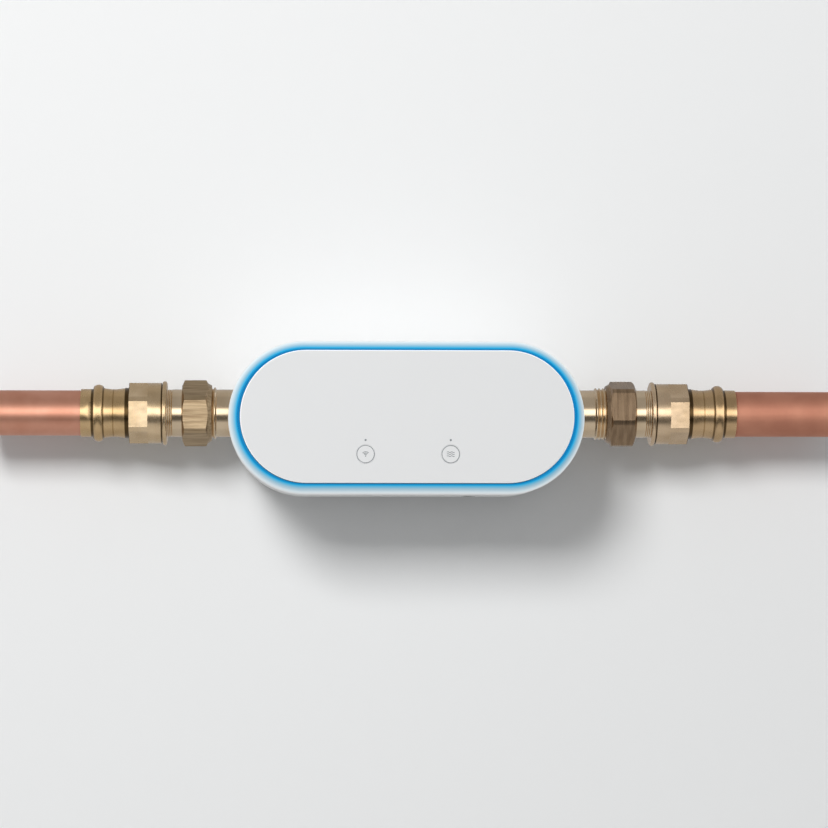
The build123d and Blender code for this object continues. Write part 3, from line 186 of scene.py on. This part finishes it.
def maths(tree, operation, first, second=None):
    """One sum on sockets or numbers."""
    node = add_node(tree, "ShaderNodeMath", operation=operation)
    for socket, value in zip(node.inputs, (first, second)):
        if isinstance(value, (int, float)):
            socket.default_value = value
        elif value is not None:
            tree.links.new(value, socket)
    return node.outputs["Value"]


def spread(tree, value, from_low, from_high, to_low=0.0, to_high=1.0):
    """A value taken from one range to another, and held at the ends."""
    node = add_node(tree, "ShaderNodeMapRange", {
        "From Min": from_low, "From Max": from_high, "To Min": to_low, "To Max": to_high
    })
    tree.links.new(value, node.inputs["Value"])
    return node.outputs["Result"]


def colour_stops(tree, factor, stops):
    """A colour ramp with its stops."""
    ramp = add_node(tree, "ShaderNodeValToRGB")
    while len(ramp.color_ramp.elements) < len(stops):
        ramp.color_ramp.elements.new(1.0)
    for element, (place, colour) in zip(ramp.color_ramp.elements, stops):
        element.position = place
        element.color = (*colour, 1)
    tree.links.new(factor, ramp.inputs["Fac"])
    return ramp.outputs["Color"]


key_data = bpy.data.lights.new("key", "AREA")
key_data.size = key_size
key_data.energy = key_power
key = bpy.data.objects.new("key", key_data)
scene.collection.objects.link(key)
key.location = key_distance * key_direction
key.rotation_euler = key_direction.to_track_quat("Z", "Y").to_euler()
key.visible_glossy = False

world = bpy.data.worlds.new("studio")
scene.world = world
world.use_nodes = True
tree = world.node_tree
fill = tree.nodes["Background"]
fill.inputs["Color"].default_value = fill_colour
fill.inputs["Strength"].default_value = fill_strength
strips = add_node(tree, "ShaderNodeBackground", {"Strength": studio_strength})
direction = add_node(tree, "ShaderNodeTexCoord")
split = add_node(tree, "ShaderNodeSeparateXYZ")
tree.links.new(direction.outputs["Generated"], split.inputs["Vector"])
raised = spread(tree, split.outputs["Z"], -1.0, 1.0)
ahead = spread(tree, split.outputs["Y"], studio_behind_y, studio_ahead_y)
bands = colour_stops(tree, raised, [(height, (level, level, level)) for height, level in studio_bands])
seen_ahead = maths(tree, "MULTIPLY", bands, ahead)
seen_behind = maths(tree, "MULTIPLY", maths(tree, "SUBTRACT", 1.0, ahead), studio_back)
tree.links.new(maths(tree, "ADD", seen_ahead, seen_behind), strips.inputs["Color"])
ray = add_node(tree, "ShaderNodeLightPath")
either = add_node(tree, "ShaderNodeMixShader")
tree.links.new(ray.outputs["Is Glossy Ray"], either.inputs["Fac"])
tree.links.new(fill.outputs["Background"], either.inputs[1])
tree.links.new(strips.outputs["Background"], either.inputs[2])
tree.links.new(either.outputs["Shader"], tree.nodes["World Output"].inputs["Surface"])

# Wall bracket and its screws
# A plate of zinc-plated steel with four holes for wall screws and four bosses. Four screws
# through the rear shell's floor go into the bosses. The plating is two near greys.
streak_detail = 4.0
streak_strength = 0.5
patch_scale = 60.0
patch_detail = 3.0
dent_detail = 1.0
tone_stops = (0.35, 0.65)


def new_group(name, inputs, outputs):
    """A shader node group with named float inputs and outputs."""
    group = bpy.data.node_groups.new(name, "ShaderNodeTree")
    for label, value in inputs.items():
        socket = group.interface.new_socket(label, in_out="INPUT", socket_type="NodeSocketFloat")
        socket.default_value = value
    for label in outputs:
        group.interface.new_socket(label, in_out="OUTPUT", socket_type="NodeSocketFloat")
    return group, group.nodes.new("NodeGroupInput"), group.nodes.new("NodeGroupOutput")


def place_group(tree, group, **values):
    """The group in a material, with its own values."""
    node = add_node(tree, "ShaderNodeGroup", node_tree=group)
    for label, value in values.items():
        node.inputs[label.capitalize()].default_value = value
    return node


def dress(material, *names):
    """Give CAD nodes a material."""
    for name in names:
        nodes[name].data.materials.clear()
        nodes[name].data.materials.append(material)


worked_metal, inside, outside = new_group(
    "worked_metal", {"Along": 1.0, "Across": 1.0, "Low": 0.2, "High": 0.3, "Dent": 100.0},
    ("Height", "Roughness", "Tone", "Dents")
)
place = add_node(worked_metal, "ShaderNodeTexCoord")
stretch = add_node(worked_metal, "ShaderNodeCombineXYZ")
stretched = add_node(worked_metal, "ShaderNodeVectorMath", operation="MULTIPLY")
streaks = add_node(worked_metal, "ShaderNodeTexNoise", {"Scale": 1.0, "Detail": streak_detail})
patches = add_node(worked_metal, "ShaderNodeTexNoise", {"Scale": patch_scale, "Detail": patch_detail})
dents = add_node(worked_metal, "ShaderNodeTexNoise", {"Detail": dent_detail})
uneven = add_node(worked_metal, "ShaderNodeMapRange")
for start, end in (
    (inside.outputs["Along"], stretch.inputs["X"]),
    (inside.outputs["Across"], stretch.inputs["Y"]),
    (inside.outputs["Across"], stretch.inputs["Z"]),
    (place.outputs["Object"], stretched.inputs[0]),
    (stretch.outputs["Vector"], stretched.inputs[1]),
    (stretched.outputs["Vector"], streaks.inputs["Vector"]),
    (place.outputs["Object"], patches.inputs["Vector"]),
    (place.outputs["Object"], dents.inputs["Vector"]),
    (inside.outputs["Dent"], dents.inputs["Scale"]),
    (inside.outputs["Low"], uneven.inputs["To Min"]),
    (inside.outputs["High"], uneven.inputs["To Max"]),
    (streaks.outputs["Fac"], uneven.inputs["Value"]),
    (streaks.outputs["Fac"], outside.inputs["Height"]),
    (uneven.outputs["Result"], outside.inputs["Roughness"]),
    (patches.outputs["Fac"], outside.inputs["Tone"]),
    (dents.outputs["Fac"], outside.inputs["Dents"]),
):
    worked_metal.links.new(start, end)


def metal(name, dark, light, roughness, grain, depth, dent=100.0, dent_depth=0.0, tone="Tone"):
    """A metal of two near tones. Its grain has a scale along the pipe and one across it, and its
    dents have a scale and a depth. The tone follows the group's output of that name."""
    material = new_material(name)
    tree, shader = tree_of(material)
    shader.inputs["Metallic"].default_value = 1.0
    low, high = roughness
    along, across = grain
    worked = place_group(tree, worked_metal, along=along, across=across, low=low, high=high, dent=dent)
    colour = colour_stops(tree, worked.outputs[tone], list(zip(tone_stops, (dark, light))))
    tree.links.new(colour, shader.inputs["Base Color"])
    tree.links.new(worked.outputs["Roughness"], shader.inputs["Roughness"])
    if dent_depth:
        bump_from(tree, shader, worked.outputs["Dents"], dent_depth)
    bump_from(tree, shader, worked.outputs["Height"], depth, streak_strength)
    return material


zinc_steel = metal("zinc_steel", dark=(0.55, 0.56, 0.58), light=(0.66, 0.67, 0.69),
                   roughness=(0.28, 0.40), grain=(300, 300), depth=0.00002)
dress(zinc_steel, "wall_bracket", "bracket_screws")

# Rear shell
# The back half of the housing, moulded in white plastic with a fine satin skin. It is screwed
# to the bracket and carries the valve body.
shell_colour = (0.84, 0.845, 0.845)
shell_roughness = (0.34, 0.42)
satin_scale = 3000.0
skin_detail = 2.0
skin_depth = 0.00002
skin_strength = 0.4
gloss_patch_scale = 40.0

moulded_skin, inside, outside = new_group(
    "moulded_skin", {"Grain": 1.0, "Low": 0.3, "High": 0.4}, ("Height", "Roughness")
)
place = add_node(moulded_skin, "ShaderNodeTexCoord")
grain = add_node(moulded_skin, "ShaderNodeTexNoise", {"Detail": skin_detail})
patches = add_node(moulded_skin, "ShaderNodeTexNoise", {"Scale": gloss_patch_scale, "Detail": skin_detail})
uneven = add_node(moulded_skin, "ShaderNodeMapRange")
for start, end in (
    (place.outputs["Object"], grain.inputs["Vector"]),
    (place.outputs["Object"], patches.inputs["Vector"]),
    (inside.outputs["Grain"], grain.inputs["Scale"]),
    (inside.outputs["Low"], uneven.inputs["To Min"]),
    (inside.outputs["High"], uneven.inputs["To Max"]),
    (patches.outputs["Fac"], uneven.inputs["Value"]),
    (grain.outputs["Fac"], outside.inputs["Height"]),
    (uneven.outputs["Result"], outside.inputs["Roughness"]),
):
    moulded_skin.links.new(start, end)


def plastic(name, colour, roughness, grain=satin_scale):
    """A moulded plastic with a fine skin and slightly uneven gloss."""
    material = new_material(name)
    tree, shader = tree_of(material)
    shader.inputs["Base Color"].default_value = (*colour, 1)
    low, high = roughness
    skin = place_group(tree, moulded_skin, grain=grain, low=low, high=high)
    tree.links.new(skin.outputs["Roughness"], shader.inputs["Roughness"])
    bump_from(tree, shader, skin.outputs["Height"], skin_depth, skin_strength)
    return material


dress(plastic("white_shell", shell_colour, shell_roughness), "rear_shell")

# Valve body, end piece and straps
# A brass casting with turned stubs and a turned end piece screwed into it. Two stainless
# straps and zinc-plated screws hold it in the rear shell.
stub_brass = metal("stub_brass", dark=(0.70, 0.54, 0.36), light=(0.80, 0.64, 0.45),
                   roughness=(0.15, 0.24), grain=(1800, 40), depth=0.00002)
stainless = metal("stainless", dark=(0.60, 0.60, 0.58), light=(0.70, 0.70, 0.69),
                  roughness=(0.18, 0.28), grain=(600, 200), depth=0.00001)
dress(stub_brass, "valve_body", "valve_end_piece")
dress(stainless, "body_straps")
dress(zinc_steel, "strap_screws")

# Ball, seats and stem
# A polished stainless ball with a bore turns between two white seats. A brass stem with
# rubber seals and a white washer turns it.
polished_steel = metal("polished_steel", dark=(0.62, 0.62, 0.61), light=(0.70, 0.70, 0.69),
                       roughness=(0.06, 0.10), grain=(60, 60), depth=0.000004)
white_polymer = plastic("white_polymer", (0.80, 0.80, 0.76), roughness=(0.40, 0.50), grain=1500.0)
rubber = plastic("rubber", (0.03, 0.03, 0.03), roughness=(0.65, 0.80), grain=2000.0)
dress(polished_steel, "ball")
dress(white_polymer, "ball_seats", "stem_washer")
dress(stub_brass, "valve_stem")
dress(rubber, "stem_seals")

# Gearbox, gears and motor
# A grey glass-filled box screwed to the valve's flange. A brass pinion on the motor drives a
# pale idler and the output gear on the stem.
grey_plastic = plastic("grey_plastic", (0.15, 0.16, 0.17), roughness=(0.45, 0.55), grain=1800.0)
dark_plastic = plastic("dark_plastic", (0.02, 0.02, 0.022), roughness=(0.40, 0.50), grain=2000.0)
dress(grey_plastic, "gearbox_base", "gearbox_cover")
dress(zinc_steel, "gearbox_screws", "motor_can")
dress(stainless, "actuator_screws", "motor_shaft", "idler_axle")
dress(white_polymer, "output_gear", "idler_gear")
dress(stub_brass, "motor_pinion")
dress(dark_plastic, "motor_cap")

# Flow turbine and sensors
# A bladed rotor on a stainless axle behind a grey straightener. The sensors beside it read
# flow, pressure and temperature.
chip = plastic("chip", (0.03, 0.03, 0.035), roughness=(0.45, 0.55), grain=2500.0)
dress(grey_plastic, "flow_straightener", "turbine_bearing")
dress(white_polymer, "turbine_rotor")
dress(stainless, "turbine_axle", "pressure_sensor", "temperature_probe")
dress(chip, "flow_sensor")

# Main board, its components and its screws
# A green circuit board behind the lid, with black components, a screened radio module and
# zinc-plated screws. Black leads join the motor, the sensors and the power inlet jack to it.
board = plastic("board", (0.02, 0.12, 0.06), roughness=(0.30, 0.42), grain=1200.0)
dress(board, "main_board")
dress(chip, "board_components")
dress(stainless, "radio_module")
dress(zinc_steel, "board_screws")
dress(dark_plastic, "power_inlet_jack", "inner_leads")

# Key switches and their plungers
# Low switches on the board, moulded in black plastic. In the well of each stands a plunger,
# on which the stem of its key rests.
dress(chip, "key_switches")
dress(dark_plastic, "connection_switch_plunger", "water_switch_plunger")

# Light guide, ring board and its light sources
# A clear plastic ring that lies under the lid's edge. A ring of small light sources, on a
# green board of its own on the front shell, lights it blue.
guide_glow = (0.0, 0.19, 0.44, 1)
light_guide = plastic("light_guide", (0.01, 0.16, 0.34), roughness=(0.20, 0.30))
tree, shader = tree_of(light_guide)
shader.inputs["Emission Color"].default_value = guide_glow
shader.inputs["Emission Strength"].default_value = 1.0
dress(light_guide, "light_guide", "ring_leds")
dress(board, "ring_board")

# Front shell
# The front half of the housing, moulded in the same white. The light ring shines through its
# convex rim, deep blue by the lid and white at the outside, and fades along its side. The dark
# base colour by the lid is painted shade of the gap under the lid's edge, and part of the glow
# on the outer edge and side wall is painted light that lifts their shaded underside.
shell_low, shell_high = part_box("front_shell")
lid_low, lid_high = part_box("lid")
housing_z = (shell_high.z + shell_low.z) / 2
shell_radius = (shell_high.z - shell_low.z) / 2
shell_half_spacing = (shell_high.x - shell_low.x) / 2 - shell_radius
lid_radius = (lid_high.z - lid_low.z) / 2
lid_gap = 0.0008
shell_gloss = 0.2
glow_full_depth = 0.010
glow_end_depth = 0.032
# Base colour across the rim, from the lid outwards: the dark blue by the lid is painted shade of the gap
# under the lid's edge.
rim_base_painted_shade_stops = (
    (0.00, (0.003, 0.06, 0.12)),
    (0.12, (0.01, 0.11, 0.18)),
    (0.30, (0.08, 0.16, 0.22)),
    (0.50, (0.17, 0.23, 0.26)),
    (0.70, (0.26, 0.30, 0.32)),
    (0.80, (0.31, 0.34, 0.35)),
    (0.90, (0.30, 0.32, 0.32)),
    (0.98, (0.45, 0.46, 0.46)),
)
# Emission across the rim, from the lid outwards: the light ring's glow, with painted light on the outer
# edge and side wall that lifts their shaded underside.
rim_glow_painted_light_stops = (
    (0.00, (0.00, 0.19, 0.43)),
    (0.12, (0.01, 0.30, 0.56)),
    (0.30, (0.11, 0.36, 0.52)),
    (0.50, (0.26, 0.40, 0.49)),
    (0.70, (0.38, 0.48, 0.54)),
    (0.80, (0.45, 0.53, 0.57)),
    (0.90, (0.48, 0.53, 0.56)),
    (0.98, (0.38, 0.385, 0.39)),
)


def object_axes(tree):
    """The three coordinates of a point on a piece, as sockets."""
    place = add_node(tree, "ShaderNodeTexCoord")
    split = add_node(tree, "ShaderNodeSeparateXYZ")
    tree.links.new(place.outputs["Object"], split.inputs["Vector"])
    return split.outputs["X"], split.outputs["Y"], split.outputs["Z"]


def past_outline(tree, half_spacing, radius):
    """How far a point lies outside a pill shape about the middle of the housing."""
    x, _, z = object_axes(tree)
    along = maths(tree, "SUBTRACT", maths(tree, "ABSOLUTE", x), half_spacing)
    along = maths(tree, "MAXIMUM", along, 0.0)
    across = maths(tree, "SUBTRACT", z, housing_z)
    along_squared = maths(tree, "MULTIPLY", along, along)
    across_squared = maths(tree, "MULTIPLY", across, across)
    from_middle = maths(tree, "SQRT", maths(tree, "ADD", along_squared, across_squared))
    return maths(tree, "SUBTRACT", from_middle, radius)


def between(tree, factor, first, second):
    """A colour between a plain first one and a second one that varies. The colour sockets of a
    Mix node are numbers 6 and 7 of its inputs and number 2 of its outputs."""
    mix = add_node(tree, "ShaderNodeMix", {6: (*first, 1)}, data_type="RGBA")
    tree.links.new(factor, mix.inputs[0])
    tree.links.new(second, mix.inputs[7])
    return mix.outputs[2]


glowing_shell_painted_light = plastic("glowing_shell_painted_light", shell_colour, shell_roughness)
tree, shader = tree_of(glowing_shell_painted_light)
rim_start = lid_radius + lid_gap
past = past_outline(tree, shell_half_spacing, rim_start)
rim_share = maths(tree, "DIVIDE", past, shell_radius - rim_start)
depth = object_axes(tree)[1]
glow = spread(tree, depth, shell_low.y + glow_end_depth, shell_low.y + glow_full_depth)
# Painted shade by the lid and painted light on the outer edge, mixed in over the shell's front.
rim_base_painted_shade = colour_stops(tree, rim_share, rim_base_painted_shade_stops)
tree.links.new(between(tree, glow, shell_colour, rim_base_painted_shade), shader.inputs["Base Color"])
tree.links.new(colour_stops(tree, rim_share, rim_glow_painted_light_stops), shader.inputs["Emission Color"])
tree.links.new(glow, shader.inputs["Emission Strength"])
shader.inputs["Specular IOR Level"].default_value = shell_gloss
dress(glowing_shell_painted_light, "front_shell")

# Shell screws, gasket and grommets
# Stainless screws from behind pull the two shells onto a black rubber gasket, and a rubber
# grommet closes each opening round the valve's stub.
dress(stainless, "shell_screws")
dress(rubber, "shell_gasket", "pipe_grommets")

# Lid
# A flat cover moulded in white, pressed onto the front shell by its pegs. A painted highlight
# glows in the small round on its edge.
lid_half_spacing = (lid_high.x - lid_low.x) / 2 - lid_radius
lid_edge = 0.0008
lid_edge_painted_highlight = (0.93, 0.96, 1.0, 1)
lid_edge_highlight_strength = 0.45
white_lid = plastic("white_lid", (0.775, 0.780, 0.783), roughness=(0.30, 0.36))
tree, shader = tree_of(white_lid)
# Painted highlight: a little emission in a thin band along the lid's edge.
past = past_outline(tree, lid_half_spacing, lid_radius - lid_edge)
strength = spread(tree, past, 0.0, lid_edge, 0.0, lid_edge_highlight_strength)
tree.links.new(strength, shader.inputs["Emission Strength"])
shader.inputs["Emission Color"].default_value = lid_edge_painted_highlight
dress(white_lid, "lid")

# Key caps
# Two round caps of the lid's plastic, flush with it, that travel when they are pressed. Each
# carries a thin grey ring and a small sign, printed in ink a few hundredths thick.
full_turn = 360
turn_steps = 64
least_steps = 6
ink_thickness = 0.00003
ink_lift = 0.000005
ring_radius = 0.0052
ring_line = 0.00028
sign_line = 0.00034
arc_sweep = 90
fan_radii = (0.0010, 0.0018, 0.0026)
fan_drop = 0.0012
fan_dot_radius = 0.00035
wave_radius = 0.0008
wave_rows = (-0.0012, 0.0, 0.0012)
wave_arcs = 4
crest_start = 90 - arc_sweep / 2
trough_start = 270 - arc_sweep / 2
ink = plastic("grey_ink", (0.16, 0.18, 0.19), roughness=(0.50, 0.60))


def arc_strip(mesh, x, z, radius, line, start, sweep):
    """A flat line along an arc that faces the viewer, from an angle in degrees through a sweep."""
    centre = Vector((x, 0, z))
    heading = Vector((math.cos(math.radians(start)), 0, math.sin(math.radians(start))))
    ends = [mesh.verts.new(centre + (radius + half) * heading) for half in (-line / 2, line / 2)]
    edge = mesh.edges.new(ends)
    steps = max(round(turn_steps * sweep / full_turn), least_steps)
    bmesh.ops.spin(mesh, geom=ends + [edge], cent=centre, axis=(0, -1, 0), angle=math.radians(sweep),
                   steps=steps, use_merge=sweep == full_turn)


def draw_fan(mesh):
    """Three arcs above a dot, the common sign for a radio link."""
    for radius in fan_radii:
        arc_strip(mesh, 0, -fan_drop, radius, sign_line, crest_start, arc_sweep)
    arc_strip(mesh, 0, -fan_drop, fan_dot_radius / 2, fan_dot_radius, 0, full_turn)


def draw_waves(mesh):
    """Three rows of waves, the common sign for water."""
    half_sweep = math.radians(arc_sweep / 2)
    step = 2 * wave_radius * math.sin(half_sweep)
    rise = wave_radius * math.cos(half_sweep)
    for row in wave_rows:
        for arc in range(wave_arcs):
            x = (arc - (wave_arcs - 1) / 2) * step
            if arc % 2:
                arc_strip(mesh, x, row + rise, wave_radius, sign_line, trough_start, arc_sweep)
            else:
                arc_strip(mesh, x, row - rise, wave_radius, sign_line, crest_start, arc_sweep)


def print_ink(name, node, body, draw):
    """A key's ring and sign, as a thin layer of ink on the middle of its cap."""
    low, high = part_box(node)
    middle = (low + high) / 2
    mesh = bmesh.new()
    arc_strip(mesh, 0, 0, ring_radius, ring_line, 0, full_turn)
    draw(mesh)
    bmesh.ops.remove_doubles(mesh, verts=mesh.verts, dist=ink_lift)
    mesh.normal_update()
    bmesh.ops.reverse_faces(mesh, faces=[face for face in mesh.faces if face.normal.y > 0])
    bmesh.ops.solidify(mesh, geom=mesh.faces[:], thickness=ink_thickness)
    back = max(vert.co.y for vert in mesh.verts)
    bmesh.ops.translate(mesh, verts=mesh.verts, vec=(middle.x, low.y - ink_lift - back, middle.z))
    bmesh.ops.recalc_face_normals(mesh, faces=mesh.faces)
    piece = finished_piece(name, mesh, ink)
    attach(piece, body)


dress(white_lid, "connection_key_cap", "water_key_cap")
print_ink("connection_key_print", "connection_key_cap", "connection_key", draw_fan)
print_ink("water_key_print", "water_key_cap", "water_key", draw_waves)

# Status light pipes
# Two thin rods of smoky clear plastic that end flush with the lid above the keys. They look
# grey while nothing lights them.
dress(plastic("smoky_guide", (0.20, 0.22, 0.23), roughness=(0.25, 0.35)), "status_light_pipes")

# Union tails and washers
# Turned brass tubes that the union nuts pull onto rubber washers at the ends of the stubs. A
# stainless clip in a groove round each tail keeps its nut on it.
dress(stub_brass, "union_tails")
dress(rubber, "union_washers")
dress(stainless, "nut_clips")

# Union nuts
# Forged and turned brass hexagons that have gone brown, the inlet one less than the outlet
# one. Wear keeps their edges bright and slightly round.
weld_distance = 0.000002
flat_angle = math.radians(0.5)
edge_angle = math.radians(20)
smooth_angle = math.radians(24)
outer_share = 0.75
nut_edge = 0.00025
inlet_nut_brass = metal("inlet_nut_brass", dark=(0.34, 0.24, 0.14), light=(0.56, 0.42, 0.26),
                        roughness=(0.26, 0.40), grain=(50, 800), depth=0.00010,
                        dent=240, dent_depth=0.00004, tone="Height")
outlet_nut_brass = metal("outlet_nut_brass", dark=(0.27, 0.18, 0.11), light=(0.39, 0.27, 0.17),
                         roughness=(0.22, 0.32), grain=(500, 50), depth=0.00004,
                         dent=240, dent_depth=0.00003, tone="Height")


def eased_copy(node, name, body, material, width):
    """A CAD piece with its outer edges broken, in that piece's place."""
    low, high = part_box(node)
    reach = (high.z - low.z) / 2 * outer_share
    mesh = bmesh.new()
    mesh.from_mesh(nodes[node].data)
    bmesh.ops.remove_doubles(mesh, verts=mesh.verts, dist=weld_distance)
    bmesh.ops.dissolve_limit(mesh, angle_limit=flat_angle, verts=mesh.verts, edges=mesh.edges)
    edges = [edge for edge in mesh.edges
             if edge.is_manifold and edge.calc_face_angle() > edge_angle
             and all(math.hypot(vert.co.y - pipe_y, vert.co.z) > reach for vert in edge.verts)]
    bmesh.ops.bevel(mesh, geom=edges, offset=width, segments=2, profile=0.5, affect="EDGES", material=-1,
                    clamp_overlap=True)
    for face in mesh.faces:
        face.smooth = True
    piece = finished_piece(name, mesh, material)
    piece.data.set_sharp_from_angle(angle=smooth_angle)
    flats = piece.modifiers.new("flats", "WEIGHTED_NORMAL")
    flats.keep_sharp = True
    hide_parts(node)
    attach(piece, body)


eased_copy("inlet_nut", "inlet_union_nut", "inlet_nut", inlet_nut_brass, nut_edge)
eased_copy("outlet_nut", "outlet_union_nut", "outlet_nut", outlet_nut_brass, nut_edge)

# Press adapters
# Yellow brass sleeves with a rolled rim, a turned barrel, a hexagon, a waisted neck that was
# pressed onto the pipe, a bead for the seal and an end collar. Painted shade darkens their
# grooves and the crease in the neck.
adapter_edge = 0.0002
# Stretches of painted shade in the grooves and the neck's crease: start, end and level, in shares of the
# adapter's length.
groove_painted_shade_shares = (
    (0.050, 0.064, 0.15),
    (0.438, 0.485, 0.13),
    (0.618, 0.626, 0.50),
    (0.730, 0.745, 0.30),
    (0.846, 0.877, 0.16),
)
painted_shade_hue = (1.1, 0.9, 0.6)
painted_shade_edge_share = 0.004
pressed_share = 0.49
turned_tint = (1.0, 1.0, 1.0)
pressed_tint = (0.90, 0.83, 0.70)
adapter_roughness = (0.22, 0.32)


def adapter_with_painted_shade(node, name, near, far, dark, light):
    """An adapter with painted shade in its grooves, from start to end in shares of its length
    and to a level of its colour. Its pressed half is a little duller than its turned half."""
    material = metal(f"{node}_brass", dark, light, adapter_roughness, grain=(240, 120), depth=0.00003,
                     dent=150, dent_depth=0.00012)
    tree, shader = tree_of(material)
    stops = []
    for start, end, level in groove_painted_shade_shares:
        shade = tuple(level * part for part in painted_shade_hue)
        before = pressed_tint if start > pressed_share else turned_tint
        after = pressed_tint if end + 2 * painted_shade_edge_share > pressed_share else turned_tint
        stops += [(start - painted_shade_edge_share, before), (start, shade)]
        stops += [(end, shade), (end + painted_shade_edge_share, after)]
    along = spread(tree, object_axes(tree)[0], near, far)
    darker = add_node(tree, "ShaderNodeVectorMath", operation="MULTIPLY")
    tree.links.new(shader.inputs["Base Color"].links[0].from_socket, darker.inputs[0])
    tree.links.new(colour_stops(tree, along, stops), darker.inputs[1])
    tree.links.new(darker.outputs["Vector"], shader.inputs["Base Color"])
    eased_copy(node, name, "housing", material, adapter_edge)


inlet_low, inlet_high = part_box("inlet_adapter")
outlet_low, outlet_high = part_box("outlet_adapter")
adapter_with_painted_shade("inlet_adapter", "inlet_press_adapter", inlet_high.x, inlet_low.x,
              dark=(0.66, 0.48, 0.28), light=(0.84, 0.64, 0.41))
adapter_with_painted_shade("outlet_adapter", "outlet_press_adapter", outlet_low.x, outlet_high.x,
              dark=(0.62, 0.45, 0.28), light=(0.76, 0.57, 0.38))

# Copper pipes and press seals
# Drawn copper tube of 28 mm, bright on the inlet side and duller on the outlet side, pressed
# into the adapters onto black rubber seals.
bright_copper = metal("bright_copper", dark=(0.76, 0.35, 0.235), light=(0.84, 0.42, 0.295),
                      roughness=(0.38, 0.46), grain=(20, 700), depth=0.00002, dent=60, dent_depth=0.00004)
dull_copper = metal("dull_copper", dark=(0.63, 0.29, 0.195), light=(0.71, 0.345, 0.235),
                    roughness=(0.58, 0.68), grain=(20, 700), depth=0.00002, dent=60, dent_depth=0.00004)
dress(bright_copper, "inlet_pipe")
dress(dull_copper, "outlet_pipe")
dress(rubber, "press_seals")
